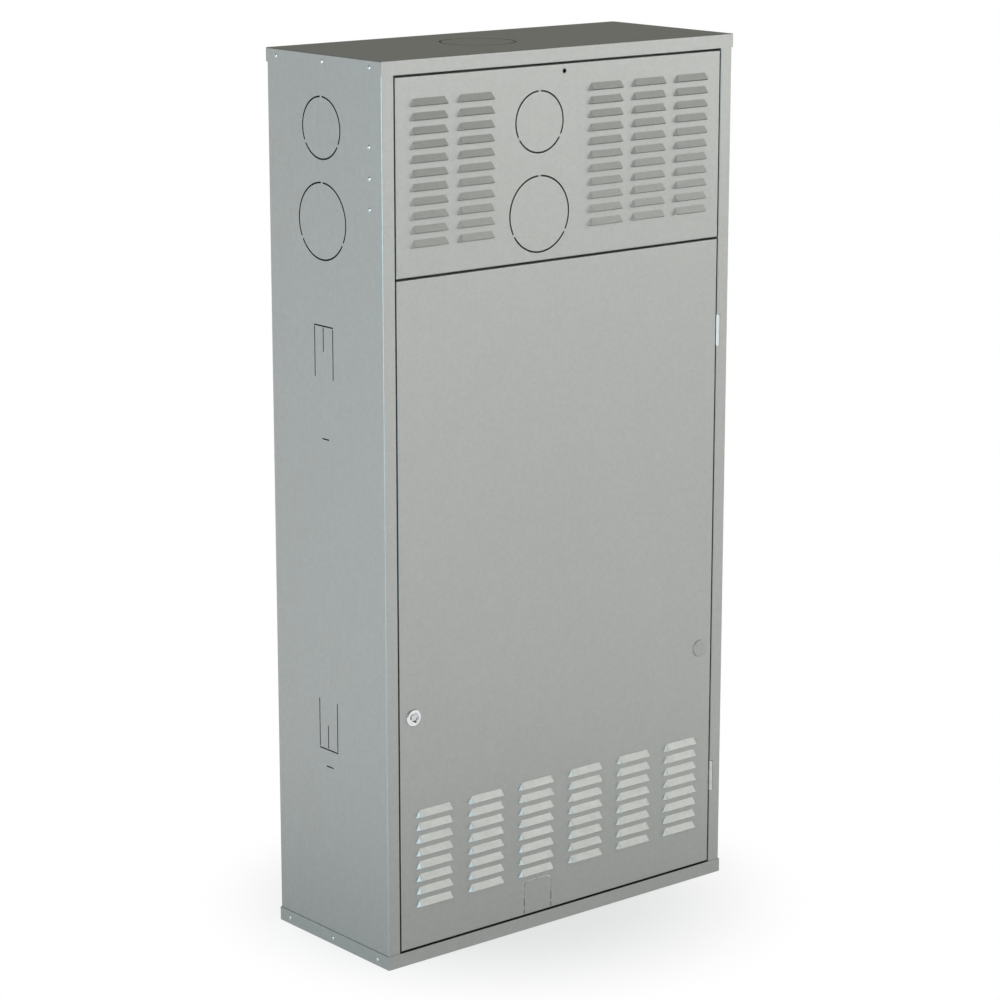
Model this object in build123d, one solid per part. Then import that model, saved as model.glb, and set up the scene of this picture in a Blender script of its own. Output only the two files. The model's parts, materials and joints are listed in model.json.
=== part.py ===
from build123d import *
import math
import os

# Frame: X runs to the right, Y runs from the front to the back, Z runs up.
# The origin is the middle of the cabinet's base. Every length is in millimetres.

# Cabinet
cabinet_width = 600.0
cabinet_height = 1200.0
cabinet_depth = 245.0
sheet = 1.0
bend_inside = 0.6
stile_width = 20.5
stile_return = 18.0
rear_flange = 15.0
cap_flange = 18.5
tray_flange = 19.5
panel_flange = 17.5
side_gap = 2.25
cap_gap = 3.0
seam_gap = 2.5
sill_gap = 2.0
upper_panel_height = 254.0
face_clearance = 0.3

# Flue knockouts, measured from the cabinet's top and back
flue_x = -42.0
flue_from_back = 117.0
small_knockout_drop = 94.0
small_knockout_radius = 40.5
large_knockout_drop = 214.0
large_knockout_radius = 50.5
cut_line = 1.2
bridge = 4.0
bridge_count = 3

# Louvres
louvre_top_length = 51.0
louvre_lip_length = 54.0
louvre_base_length = 63.0
louvre_height = 10.0
louvre_depth = 5.5
louvre_lip_rise = 1.5
louvre_edge_round = 1.0
louvre_row_pitch = 17.85
upper_louvre_rows = 11
upper_louvre_drop = 59.5
upper_column_pitch = 76.0
upper_column_margin = 76.0
upper_columns_left = 2
upper_columns_right = 3
door_louvre_rows = 8
door_louvre_rise = 203.0
door_louvre_columns = 6
door_column_pitch = 88.25

# Wall anchor tabs in the side panels
slit = 1.8
tab_width = 41.0
tab_length = 67.0
tab_centre_slit = 32.0
tab_from_back = 116.5
upper_tab_drop = 350.5
lower_tab_rise = 275.0
marker_slot_length = 15.0
upper_marker_drop = 500.0
lower_marker_rise = 251.5

# Rivets
rivet_head_radius = 2.8
rivet_head_height = 1.0
rivet_radius = 1.6
rivet_clearance = 0.05
rivet_sides = 16
rivet_head_taper = 40.0
flange_rivet_back_inset = 22.0
flange_rivet_front_inset = 25.0
flange_rivet_drop = 9.5
bracket_rivet_front_inset = 28.0
bracket_rivet_drops = (109.0, 149.0, 188.0)

# Upper panel screw hole and the rail that takes the screw
screw_hole_radius = 3.2
screw_hole_drop = 31.0
thread_hole_radius = 2.5
top_rail_drop = 46.0
mid_rail_height = 40.0
mid_rail_flange = 15.0
ledge_width = 30.0
ledge_thickness = 2.0
ledge_depth = 6.0
ledge_x = 200.0
bracket_height = 92.0
bracket_leg = 24.0

# Door bottom knockout
pipe_knockout_x = -41.5
pipe_knockout_width = 49.0
pipe_knockout_height = 48.5
pipe_knockout_corner = 8.0

# Hinges
hinge_height = 43.0
hinge_from_door_end = 127.5
hinge_knuckles = 4
hinge_barrel_radius = 3.0
hinge_pin_radius = 1.5
hinge_pin_clearance = 0.05
hinge_axis_inset = 1.8
hinge_axis_depth = 1.0
hinge_leaf = 1.2
hinge_clearance = 0.3

# Lock and blind plug
lock_inset = 44.5
lock_rise = 342.5
bezel_radius = 11.5
bezel_height = 2.2
recess_radius = 7.6
recess_depth = 4.0
barrel_radius = 9.0
barrel_length = 18.8
barrel_clearance = 0.2
nut_across = 24.0
nut_height = 4.0
spindle_radius = 5.0
spindle_clearance = 0.05
spindle_square = 7.0
cam_length = 36.0
cam_width = 14.0
cam_thickness = 2.5
cam_gap = 2.5
cam_screw_radius = 4.5
cam_screw_height = 2.6
plug_radius = 12.0
plug_dome = 1.8

# Back panel, tray outlet and wall fixing
wall_hole_radius = 5.0
wall_hole_spacing_x = 440.0
wall_hole_spacing_z = 1000.0
outlet_width = 420.0
outlet_depth = 120.0
outlet_y = 40.0

# Boiler frame
chassis_half_width = 216.0
chassis_bottom = 150.0
chassis_top = 895.0
chassis_front_y = -40.0
chassis_back_y = 112.0
bracket_rise = 30.0
hanging_bracket_z = 840.0
spacer_bracket_z = 240.0
hanging_bracket_width = 360.0

# Sealed chamber
chamber_bottom = 480.0
chamber_top = 890.0
chamber_front_y = -84.0
chamber_back_y = 60.0
chamber_rim = 12.0
gasket = 2.0
cover_flange = 8.0
cover_overlap = 2.0
cover_screw_radius = 4.0

# Expansion vessel
vessel_width = 400.0
vessel_height = 360.0
vessel_z = 690.0
vessel_corner = 60.0
vessel_wall = 1.5
vessel_seam = 4.0
vessel_depth_round = 17.0
vessel_port_radius = 5.0

# Combustion group
core_half_width = 150.0
core_front_y = -62.0
core_back_y = 42.0
rack_half_width = 141.0
rack_sheet = 2.0
rack_top = 575.0
burner_bottom = 515.0
burner_top = 560.0
burner_blades_count = 14
burner_blade_width = 12.0
manifold_y = -68.0
manifold_z = 525.0
manifold_radius = 8.0
manifold_clearance = 0.1
injector_radius = 3.0
exchanger_bottom = 700.0
exchanger_top = 760.0
exchanger_fins = 24
fin_thickness = 1.6
exchanger_tubes = 5
exchanger_tube_radius = 7.0
header_length = 14.0
insulation = 10.0
hood_top = 778.0

# Fan
fan_radius = 48.0
fan_offset_x = 23.0
fan_z = 829.0
fan_front_y = -32.0
fan_back_y = 22.0
fan_wheel_radius = 42.0
fan_blades = 20
fan_motor_radius = 32.0
fan_motor_front_y = -75.0
fan_shaft_radius = 4.0
fan_inlet_radius = 25.0
running_clearance = 0.05

# Flue collar
flue_inner_radius = 30.0
flue_outer_radius = 50.0
flue_collar_top = 930.0

# Water and gas
pipe_y = 40.0
pipe_pitch = 75.0
pipe_radius = 8.0
pipe_wall = 1.0
pipe_bend = 15.0
riser_x = 185.0
riser_y = -10.0
gas_riser_x = 60.0
block_half_width = 22.0
block_bottom = 215.0
block_top = 265.0
block_front_y = 22.0
block_back_y = 92.0
boss_y = 80.0
boss_radius = 9.0
plate_exchanger_half = 95.0
plate_exchanger_front_y = 58.0
plate_exchanger_back_y = 108.0
plate_exchanger_bottom = 212.0
plate_exchanger_top = 290.0
plate_exchanger_plates = 16
pump_z = 360.0
pump_radius = 45.0
pump_back_y = 62.0
pump_split_y = 20.0
pump_motor_radius = 42.0
pump_motor_front_y = -42.0
pump_port_radius = 14.0
pump_impeller_radius = 34.0
gas_valve_half_width = 35.0
gas_inlet_y = -30.0
gas_valve_bottom = 380.0
gas_valve_top = 440.0

# Stop valves and tails
valve_bottom = 95.0
valve_top = 140.0
valve_radius = 13.0
valve_stem_radius = 4.0
lever_length = 50.0
lever_width = 12.0
lever_thickness = 3.0
lever_y = 17.0
tail_end_z = 12.0
tail_radius = 9.0
tail_nut_radius = 15.0
tail_nut_height = 14.0
rail_clearance = 0.3
rail_front_reach = 14.0

# Control box
control_half_width = 205.0
control_front_y = -88.0
control_back_y = -48.0
control_bottom = 205.0
control_top = 300.0
control_wall = 2.0
knob_radius = 19.0
knob_height = 13.0
knob_shaft_radius = 3.0
knob_z = 252.0
knob_positions = (-160.0, -100.0)
gauge_x = 0.0
gauge_radius = 24.0
button_x = 90.0
button_radius = 6.0
button_height = 3.0
button_travel = 2.0
board_y = -70.0
lamp_x = (50.0, 60.0, 70.0)
lamp_radius = 2.0
loom_radius = 3.5
loom_start = (-100.0, -60.0, control_top)
loom_top = (-60.0, -55.0, chamber_bottom)

# Places worked out from the values above
front_y = -cabinet_depth / 2
back_y = cabinet_depth / 2
face_y = front_y + sheet
flue_y = back_y - flue_from_back
stile_x = cabinet_width / 2 - stile_width
panel_width = 2 * (stile_x - side_gap)
upper_panel_top = cabinet_height - cap_flange - cap_gap
upper_panel_bottom = upper_panel_top - upper_panel_height
door_top = upper_panel_bottom - seam_gap
door_bottom = tray_flange + sill_gap
door_height = door_top - door_bottom
stop_y = face_y + stile_return + face_clearance
back_sheet_y = back_y - 3 * sheet
end_gap = sheet + bend_inside
lock_x = lock_inset - cabinet_width / 2
lock_z = lock_rise
hinge_x = stile_x + hinge_axis_inset
hinge_y = face_y + hinge_axis_depth
hinge_levels = (door_bottom + hinge_from_door_end, door_top - hinge_from_door_end)
cam_y = face_y + stile_return + cam_gap
flue_drops = (small_knockout_drop, large_knockout_drop)
flue_radii = (small_knockout_radius, large_knockout_radius)
pipe_places = [pipe_pitch * step for step in (-2, -1, 0, 1, 2)]
valve_places = [0.0, pipe_pitch]
fan_x = flue_x + fan_offset_x


def block(x_range, y_range, z_range):
    """Box between three pairs of coordinates."""
    size = [high - low for low, high in (x_range, y_range, z_range)]
    corner = Pos(x_range[0], y_range[0], z_range[0])
    return corner * Box(*size, align=(Align.MIN, Align.MIN, Align.MIN))


def rod(start, direction, radius, length):
    """Cylinder from a point along a direction."""
    return Plane(origin=start, z_dir=direction) * Cylinder(
        radius, length, align=(Align.CENTER, Align.CENTER, Align.MIN)
    )


def hollow_rod(start, direction, radius, bore, length):
    """Tube from a point along a direction."""
    return rod(start, direction, radius, length) - rod(start, direction, bore, length)


def pipe(points, radius=pipe_radius, bend=pipe_bend, wall=pipe_wall):
    """Bent tube along straight runs joined by arcs."""
    path = FilletPolyline(*points, radius=bend) if len(points) > 2 else Line(*points)
    section = Circle(radius) - Circle(radius - wall) if wall else Circle(radius)
    return sweep(Plane(origin=path @ 0, z_dir=path % 0) * section, path=path)


def mirrored(shape):
    """The same piece on the other side of the cabinet."""
    return mirror(shape, about=Plane.YZ)


def folded_face(points):
    """Cross-section of a folded sheet. The sheet lies on the left of the line through the points."""
    count = len(points)
    normals = []
    for start, end in zip(points, points[1:]):
        length = math.hypot(end[0] - start[0], end[1] - start[1])
        normals.append((-(end[1] - start[1]) / length, (end[0] - start[0]) / length))
    offset_points = []
    for index, point in enumerate(points):
        before = normals[max(index - 1, 0)]
        after = normals[min(index, count - 2)]
        share = sheet / (1 + before[0] * after[0] + before[1] * after[1])
        shift = [share * (before[axis] + after[axis]) for axis in (0, 1)]
        offset_points.append((point[0] + shift[0], point[1] + shift[1]))
    face = make_face(Polyline(*points, *reversed(offset_points), close=True)).face()
    for index in range(1, count - 1):
        turn = normals[index - 1][0] * normals[index][1] - normals[index - 1][1] * normals[index][0]
        corners = [(points[index], bend_inside + sheet), (offset_points[index], bend_inside)]
        if turn < 0:
            corners = [(points[index], bend_inside), (offset_points[index], bend_inside + sheet)]
        for corner, radius in corners:
            target = Vector(*corner, 0)
            vertex = min(face.vertices(), key=lambda item: (Vector(item) - target).length)
            face = face.fillet_2d(radius, [vertex])
    return face


def pan(width, height, depth):
    """Tray of sheet with its flanges bent back. Its face lies at Y = 0 and its lower edge at Z = 0."""
    half = width / 2
    outside = block((-half, half), (0, depth), (0, height))
    outside = fillet(outside.edges().filter_by_position(Axis.Y, -0.01, 0.01), bend_inside + sheet)
    inner_x = (sheet - half, half - sheet)
    inside = block(inner_x, (sheet, depth + sheet), (sheet, height - sheet))
    near_face = (sheet - 0.01, sheet + 0.01)
    inside = fillet(inside.edges().filter_by_position(Axis.Y, *near_face), bend_inside)
    return outside - inside


def knockout(radius):
    """Ring cut that leaves bridges of sheet. Its axis is Z and the first bridge lies on +X."""
    tall = 4 * sheet
    ring = Cylinder(radius, tall) - Cylinder(radius - cut_line, tall)
    for index in range(bridge_count):
        arm = Pos(radius, 0, 0) * Box(4 * cut_line, bridge, 2 * tall)
        ring -= Rot(0, 0, index * 360 / bridge_count) * arm
    return ring


def hood(drop, back):
    """Louvre hood with its base line at Z = 0, moved back and lengthened downwards by the arguments."""
    half_top = louvre_top_length / 2
    half_lip = louvre_lip_length / 2
    half_base = louvre_base_length / 2
    top_left = (-half_top, back, louvre_height)
    top_right = (half_top, back, louvre_height)
    base_left = (-half_base, back, -drop)
    base_right = (half_base, back, -drop)
    lip_left = (-half_lip, back - louvre_depth, louvre_lip_rise - drop)
    lip_right = (half_lip, back - louvre_depth, louvre_lip_rise - drop)
    outlines = [
        (top_left, top_right, lip_right, lip_left),
        (top_left, lip_left, base_left),
        (top_right, base_right, lip_right),
        (base_left, lip_left, lip_right, base_right),
        (top_left, base_left, base_right, top_right),
    ]
    faces = [Face(Wire.make_polygon(outline, close=True)) for outline in outlines]
    shape = Solid(Shell(faces))
    ridges = []
    for corner_top, corner_lip in ((top_left, lip_left), (top_right, lip_right)):
        middle = (Vector(*corner_top) + Vector(*corner_lip)) / 2
        ridges.append(min(shape.edges(), key=lambda edge: (edge @ 0.5 - middle).length))
    return fillet(ridges, louvre_edge_round)


def louvred(panel, places):
    """Panel with a pierced hood at each place, given as X and the base line's Z."""
    slope = math.hypot(louvre_depth, louvre_height - louvre_lip_rise) / (louvre_height - louvre_lip_rise)
    outer = hood(0, 0)
    inner = hood(sheet / 2, sheet * slope)
    panel = panel + [Pos(x, 0, z) * outer for x, z in places]
    return panel - [Pos(x, 0, z) * inner for x, z in places]


def upper_panel():
    """Lift-off panel with louvres, two flue knockouts and one screw hole."""
    shape = pan(panel_width, upper_panel_height, panel_flange)
    half = cabinet_width / 2
    first_left = upper_column_margin - half
    columns = [first_left + upper_column_pitch * index for index in range(upper_columns_left)]
    columns += [-first_left - upper_column_pitch * index for index in range(upper_columns_right)]
    top_z = cabinet_height - upper_louvre_drop - upper_panel_bottom
    rows = [top_z - louvre_row_pitch * index for index in range(upper_louvre_rows)]
    shape = louvred(shape, [(x, z) for x in columns for z in rows])
    for drop, radius in zip(flue_drops, flue_radii):
        centre = Pos(flue_x, 0, cabinet_height - drop - upper_panel_bottom)
        shape -= centre * Rot(90, 0, 0) * Rot(0, 0, 90) * knockout(radius)
    screw_z = cabinet_height - screw_hole_drop - upper_panel_bottom
    shape -= rod((0, -sheet, screw_z), (0, 1, 0), screw_hole_radius, 3 * sheet)
    return Pos(0, face_y, upper_panel_bottom) * shape


def pipe_knockout():
    """Cut line of the pipe knockout at the door's lower edge, with bridges of sheet."""
    height = pipe_knockout_height
    outer = RectangleRounded(pipe_knockout_width, 2 * height, pipe_knockout_corner)
    inner_corner = pipe_knockout_corner - cut_line
    inner_size = (pipe_knockout_width - 2 * cut_line, 2 * (height - cut_line))
    ring = outer - RectangleRounded(*inner_size, inner_corner)
    shape = Rot(90, 0, 0) * extrude(ring, amount=2 * sheet, both=True)
    half = pipe_knockout_width / 2
    shape -= Pos(0, 0, height) * Box(bridge, 6 * sheet, 4 * cut_line)
    for side in (-half, half):
        for level in (0.22, 0.55, 0.78):
            shape -= Pos(side, 0, level * height) * Box(4 * cut_line, 6 * sheet, bridge)
    return shape


def door_panel():
    """Door with louvres at its foot, a pipe knockout, a lock hole, a plug hole and hinge slots."""
    shape = pan(panel_width, door_height, panel_flange)
    first = -door_column_pitch * (door_louvre_columns - 1) / 2
    columns = [first + door_column_pitch * index for index in range(door_louvre_columns)]
    top_z = door_louvre_rise - door_bottom
    rows = [top_z - louvre_row_pitch * index for index in range(door_louvre_rows)]
    shape = louvred(shape, [(x, z) for x in columns for z in rows])
    reach = 2 * pipe_knockout_width
    lower = pipe_knockout() & block((-reach, reach), (-3 * sheet, 3 * sheet), (2 * sheet, reach))
    shape -= Pos(pipe_knockout_x, 0, 0) * lower
    for x in (lock_x, -lock_x):
        hole = barrel_radius + barrel_clearance
        shape -= rod((x, -sheet, lock_z - door_bottom), (0, 1, 0), hole, 3 * sheet)
    shape = Pos(0, face_y, door_bottom) * shape
    slot_y = (face_y + 2 * sheet, hinge_y + hinge_barrel_radius + hinge_clearance)
    edge_x = panel_width / 2
    for level in hinge_levels:
        half = hinge_height / 2 + hinge_clearance
        shape -= block((edge_x - 1.5 * sheet, edge_x + sheet), slot_y, (level - half, level + half))
    return shape


def side_rivet_points():
    """Rivets of the left side as Y and Z: the cap's, the tray's and the panel bracket's."""
    front = front_y + flange_rivet_front_inset
    back = back_y - flange_rivet_back_inset
    flange = []
    for y in (front, (front + back) / 2, back):
        flange.append((y, cabinet_height - flange_rivet_drop))
        flange.append((y, flange_rivet_drop))
    bracket_y = front_y + bracket_rivet_front_inset
    brackets = [(bracket_y, cabinet_height - drop) for drop in bracket_rivet_drops]
    return flange, brackets


def rivet_holes(points):
    """Holes across both side walls for the rivets at the given Y and Z."""
    radius = rivet_radius + rivet_clearance
    return [rod((-cabinet_width, y, z), (1, 0, 0), radius, 2 * cabinet_width) for y, z in points]


def anchor_tab(level, direction):
    """Slits of one wall anchor tab in the left wall. The tab hangs down for -1 and up for 1."""
    x_range = (-cabinet_width / 2 - sheet, -cabinet_width / 2 + 3 * sheet)
    centre_y = back_y - tab_from_back
    across = (centre_y - tab_width / 2, centre_y + tab_width / 2)
    cuts = [block(x_range, across, (level - slit / 2, level + slit / 2))]
    runs = [(-tab_width / 2, tab_length), (0, tab_centre_slit), (tab_width / 2 - slit, tab_length)]
    for offset, length in runs:
        reach = sorted((level + direction * slit, level + direction * (slit + length)))
        cuts.append(block(x_range, (centre_y + offset, centre_y + offset + slit), reach))
    return cuts


def left_side_panel():
    """Side wall with its front stile, stile return and rear flange, pierced and slit."""
    wall_x = -cabinet_width / 2 + sheet
    points = [
        (-stile_x, face_y + stile_return),
        (-stile_x, face_y),
        (wall_x, face_y),
        (wall_x, back_y - sheet),
        (wall_x + rear_flange, back_y - sheet),
    ]
    shape = extrude(folded_face(list(reversed(points))), amount=cabinet_height - 2 * end_gap)
    shape = Pos(0, 0, end_gap) * shape
    for drop, radius in zip(flue_drops, flue_radii):
        centre = Pos(wall_x, flue_y, cabinet_height - drop)
        shape -= centre * Rot(0, 90, 0) * Rot(0, 0, 180) * knockout(radius)
    for cut in anchor_tab(cabinet_height - upper_tab_drop, -1) + anchor_tab(lower_tab_rise, 1):
        shape -= cut
    across_wall = (wall_x - 3 * sheet, wall_x + 3 * sheet)
    for level in (cabinet_height - upper_marker_drop, lower_marker_rise):
        middle = back_y - tab_from_back - slit
        marker_y = (middle - marker_slot_length / 2, middle + marker_slot_length / 2)
        shape -= block(across_wall, marker_y, (level - slit / 2, level + slit / 2))
    flange, brackets = side_rivet_points()
    return shape - rivet_holes(flange + brackets)


def right_side_panel():
    """Mirror of the left wall with notches for the hinge barrels."""
    shape = mirrored(left_side_panel())
    reach = hinge_barrel_radius + hinge_clearance + 0.4
    for level in hinge_levels:
        half = hinge_height / 2 + hinge_clearance
        notch_x = (stile_x - sheet, hinge_x + reach)
        shape -= block(notch_x, (front_y - sheet, hinge_y + reach), (level - half, level + half))
    return shape


def flanged_cap(flange):
    """Shallow tray that closes one end of the cabinet. Its sheet lies at Z = 0 with the flanges up."""
    shape = Rot(90, 0, 0) * pan(cabinet_width, cabinet_depth, flange)
    return Pos(0, cabinet_depth / 2, 0) * shape


def top_cap():
    """Top of the cabinet with the vertical flue knockout."""
    shape = Pos(0, 0, cabinet_height) * Rot(180, 0, 0) * flanged_cap(cap_flange)
    shape -= Pos(flue_x, flue_y, cabinet_height) * Rot(0, 0, 90) * knockout(large_knockout_radius)
    return shape - rivet_holes(side_rivet_points()[0])


def bottom_tray():
    """Bottom of the cabinet with the outlet for the connections."""
    shape = flanged_cap(tray_flange)
    half = outlet_width / 2
    outlet_range = (outlet_y - outlet_depth / 2, outlet_y + outlet_depth / 2)
    shape -= block((-half, half), outlet_range, (-sheet, 2 * sheet))
    return shape - rivet_holes(side_rivet_points()[0])


def back_panel():
    """Rear sheet with the four wall fixing holes."""
    half = cabinet_width / 2 - 2 * sheet - bend_inside
    shape = block((-half, half), (back_sheet_y, back_sheet_y + sheet), (end_gap, cabinet_height - end_gap))
    for x in (-wall_hole_spacing_x / 2, wall_hole_spacing_x / 2):
        for z in (-wall_hole_spacing_z / 2, wall_hole_spacing_z / 2):
            start = (x, back_sheet_y - sheet, cabinet_height / 2 + z)
            shape -= rod(start, (0, 1, 0), wall_hole_radius, 3 * sheet)
    return shape


def cross_profile(points, half_width):
    """Folded profile given as Y and Z, run across the cabinet."""
    shape = extrude(Plane.YZ * folded_face(points), amount=2 * half_width)
    return Pos(-half_width, 0, 0) * shape


def top_stop_rail():
    """Angle under the cap. The upper panel's top edge rests against it and its hole takes the screw."""
    level = cabinet_height - sheet
    points = [
        (stop_y + mid_rail_flange, level),
        (stop_y, level),
        (stop_y, cabinet_height - top_rail_drop),
    ]
    shape = cross_profile(points, cabinet_width / 2 - 2 * sheet)
    start = (0, stop_y - sheet, cabinet_height - screw_hole_drop)
    return shape - rod(start, (0, 1, 0), thread_hole_radius, 3 * sheet)


def middle_rail():
    """Channel behind the seam of the two front panels, with two ledges that carry the upper panel."""
    middle = (upper_panel_bottom + door_top) / 2
    low = middle - mid_rail_height / 2
    high = middle + mid_rail_height / 2
    points = [
        (stop_y + mid_rail_flange, high),
        (stop_y, high),
        (stop_y, low),
        (stop_y + mid_rail_flange, low),
    ]
    shape = cross_profile(points, cabinet_width / 2 - 2 * sheet)
    ledge_top = upper_panel_bottom - face_clearance
    for x in (-ledge_x, ledge_x):
        ledge_range = (x - ledge_width / 2, x + ledge_width / 2)
        ledge_z = (ledge_top - ledge_thickness, ledge_top)
        shape += block(ledge_range, (stop_y - ledge_depth, stop_y), ledge_z)
    return shape


def panel_bracket():
    """Angle riveted to the left wall behind the upper panel's flange."""
    wall_x = -cabinet_width / 2 + 2 * sheet
    points = [
        (wall_x, stop_y + bracket_leg),
        (wall_x, stop_y),
        (wall_x + bracket_leg, stop_y),
    ]
    middle = cabinet_height - bracket_rivet_drops[1]
    shape = extrude(folded_face(points), amount=bracket_height)
    shape = Pos(0, 0, middle - bracket_height / 2) * shape
    return shape - rivet_holes(side_rivet_points()[1])


def rivet(outer_x, grip, y, z):
    """Blind rivet whose low faceted head lies outside the left wall."""
    outward = Plane(origin=(outer_x, y, z), z_dir=(-1, 0, 0))
    inward = Plane(origin=(outer_x, y, z), z_dir=(1, 0, 0))
    head_outline = outward * RegularPolygon(rivet_head_radius, rivet_sides)
    head = extrude(head_outline, amount=rivet_head_height, taper=rivet_head_taper)
    return head + extrude(inward * RegularPolygon(rivet_radius, rivet_sides), amount=grip)


def cabinet_rivets():
    """All rivets of the cabinet's two sides."""
    flange, brackets = side_rivet_points()
    left = [rivet(-cabinet_width / 2, 2 * sheet, y, z) for y, z in flange]
    left += [rivet(-cabinet_width / 2 + sheet, 2 * sheet, y, z) for y, z in brackets]
    return Compound(children=left + [mirrored(item) for item in left])


def knuckle_levels(level, own_parity):
    """Heights of the knuckles that belong to one leaf."""
    pitch = hinge_height / hinge_knuckles
    bottom = level - hinge_height / 2
    return [bottom + pitch * index for index in range(hinge_knuckles) if index % 2 == own_parity]


def knuckles(level, own_parity):
    """Barrel sections of one leaf with their running gaps."""
    pitch = hinge_height / hinge_knuckles
    gap = hinge_clearance / 2
    bore = hinge_pin_radius + hinge_pin_clearance
    sections = []
    for bottom in knuckle_levels(level, own_parity):
        start = (hinge_x, hinge_y, bottom + gap)
        sections.append(hollow_rod(start, (0, 0, 1), hinge_barrel_radius, bore, pitch - 2 * gap))
    return sections


def frame_leaf(level):
    """Hinge leaf on the inner side of the right stile's return."""
    pitch = hinge_height / hinge_knuckles
    plate_x = (stile_x + sheet, stile_x + sheet + hinge_leaf)
    plate_end = face_y + stile_return - sheet
    plate_start = hinge_y + hinge_barrel_radius + hinge_clearance
    low = level - hinge_height / 2
    shape = block(plate_x, (plate_start, plate_end), (low, low + hinge_height))
    for section, bottom in zip(knuckles(level, 1), knuckle_levels(level, 1)):
        strap_z = (bottom + hinge_clearance / 2, bottom + pitch - hinge_clearance / 2)
        strap = block(plate_x, (hinge_y + 2, plate_start), strap_z)
        shape += section + strap
    return shape


def door_leaf(level):
    """Hinge leaf on the inner side of the door's right flange."""
    pitch = hinge_height / hinge_knuckles
    flange_x = panel_width / 2 - sheet
    strap_y = (hinge_y + hinge_barrel_radius - hinge_leaf, hinge_y + hinge_barrel_radius)
    low = level - hinge_height / 2
    plate_y = (strap_y[0], face_y + panel_flange - sheet)
    shape = block((flange_x - hinge_leaf, flange_x), plate_y, (low, low + hinge_height))
    for section, bottom in zip(knuckles(level, 0), knuckle_levels(level, 0)):
        strap_z = (bottom + hinge_clearance / 2, bottom + pitch - hinge_clearance / 2)
        bore = rod((hinge_x, hinge_y, bottom), (0, 0, 1), hinge_pin_radius + hinge_pin_clearance, pitch)
        strap = block((flange_x - hinge_leaf, hinge_x), strap_y, strap_z)
        shape += section + (strap - bore)
    return shape


def hinge_pin(level):
    """Pin of one hinge with a low head at each end."""
    length = hinge_height + 2 * hinge_clearance
    start = (hinge_x, hinge_y, level - length / 2)
    return rod(start, (0, 0, 1), hinge_pin_radius, length)


def lock_housing():
    """Threaded lock barrel with its chrome bezel and the recess for the key."""
    bezel_start = (lock_x, face_y - bezel_height, lock_z)
    bezel = rod(bezel_start, (0, 1, 0), bezel_radius, bezel_height)
    bezel = chamfer(bezel.edges().group_by(Axis.Y)[0], bezel_height * 0.4)
    shape = bezel + rod((lock_x, face_y, lock_z), (0, 1, 0), barrel_radius, barrel_length)
    shape -= rod(bezel_start, (0, 1, 0), recess_radius, recess_depth)
    bore = spindle_radius + spindle_clearance
    return shape - rod(bezel_start, (0, 1, 0), bore, bezel_height + barrel_length)


def lock_nut():
    """Hexagon nut that clamps the lock barrel in the door."""
    outline = RegularPolygon(nut_across / math.sqrt(3), 6) - Circle(barrel_radius + spindle_clearance)
    plane = Plane(origin=(lock_x, face_y + sheet, lock_z), z_dir=(0, 1, 0))
    return extrude(plane * outline, amount=nut_height)


def lock_spindle():
    """Turning core with a square drive in front and a square seat for the cam behind."""
    front = face_y - bezel_height + recess_depth
    length = cam_y - front
    shape = rod((lock_x, front, lock_z), (0, 1, 0), spindle_radius, length)
    square_x = (lock_x - spindle_square / 2, lock_x + spindle_square / 2)
    square_z = (lock_z - spindle_square / 2, lock_z + spindle_square / 2)
    shape += block(square_x, (front - recess_depth * 0.8, front), square_z)
    return shape + block(square_x, (cam_y, cam_y + cam_thickness), square_z)


def lock_cam():
    """Flat tongue that turns behind the left stile's return."""
    outline = Pos(0, -cam_length / 2) * SlotCenterToCenter(cam_length, cam_width, rotation=90)
    reach = cam_width / 2
    outline = Pos(0, reach / 2) * outline & Pos(0, (reach - cam_length) / 2) * Rectangle(
        cam_width, cam_length + reach
    )
    hole = Rectangle(spindle_square + 2 * spindle_clearance, spindle_square + 2 * spindle_clearance)
    plane = Plane(origin=(lock_x, cam_y, lock_z), x_dir=(-1, 0, 0), z_dir=(0, 1, 0))
    return extrude(plane * (outline - hole), amount=cam_thickness)


def cam_screw():
    """Round-headed screw that keeps the cam on its square."""
    start = (lock_x, cam_y + cam_thickness, lock_z)
    shape = rod(start, (0, 1, 0), cam_screw_radius, cam_screw_height)
    return fillet(shape.edges().group_by(Axis.Y)[-1], cam_screw_height * 0.5)


def blind_plug():
    """Domed plug in the unused lock hole."""
    start = (-lock_x, face_y, lock_z)
    dome = rod((-lock_x, face_y - plug_dome, lock_z), (0, 1, 0), plug_radius, plug_dome)
    dome = fillet(dome.edges().group_by(Axis.Y)[0], plug_dome * 0.8)
    return dome + rod(start, (0, 1, 0), barrel_radius, 4 * sheet)


def boiler_chassis():
    """Folded frame that carries the boiler: a back and two cheeks."""
    x = chassis_half_width
    points = [(-x, chassis_front_y), (-x, chassis_back_y), (x, chassis_back_y), (x, chassis_front_y)]
    shape = extrude(folded_face(list(reversed(points))), amount=chassis_top - chassis_bottom)
    return Pos(0, 0, chassis_bottom) * shape


def wall_bracket(level):
    """Stepped rail between the cabinet's back and the boiler's frame."""
    points = [
        (back_sheet_y, level),
        (back_sheet_y, level + bracket_rise),
        (chassis_back_y + sheet, level + bracket_rise),
        (chassis_back_y + sheet, level + 2 * bracket_rise),
    ]
    return cross_profile(points, hanging_bracket_width / 2)


def boiler_brackets():
    """Hanging rail above and spacer rail below."""
    return Compound(children=[wall_bracket(hanging_bracket_z - bracket_rise), wall_bracket(spacer_bracket_z)])


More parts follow.
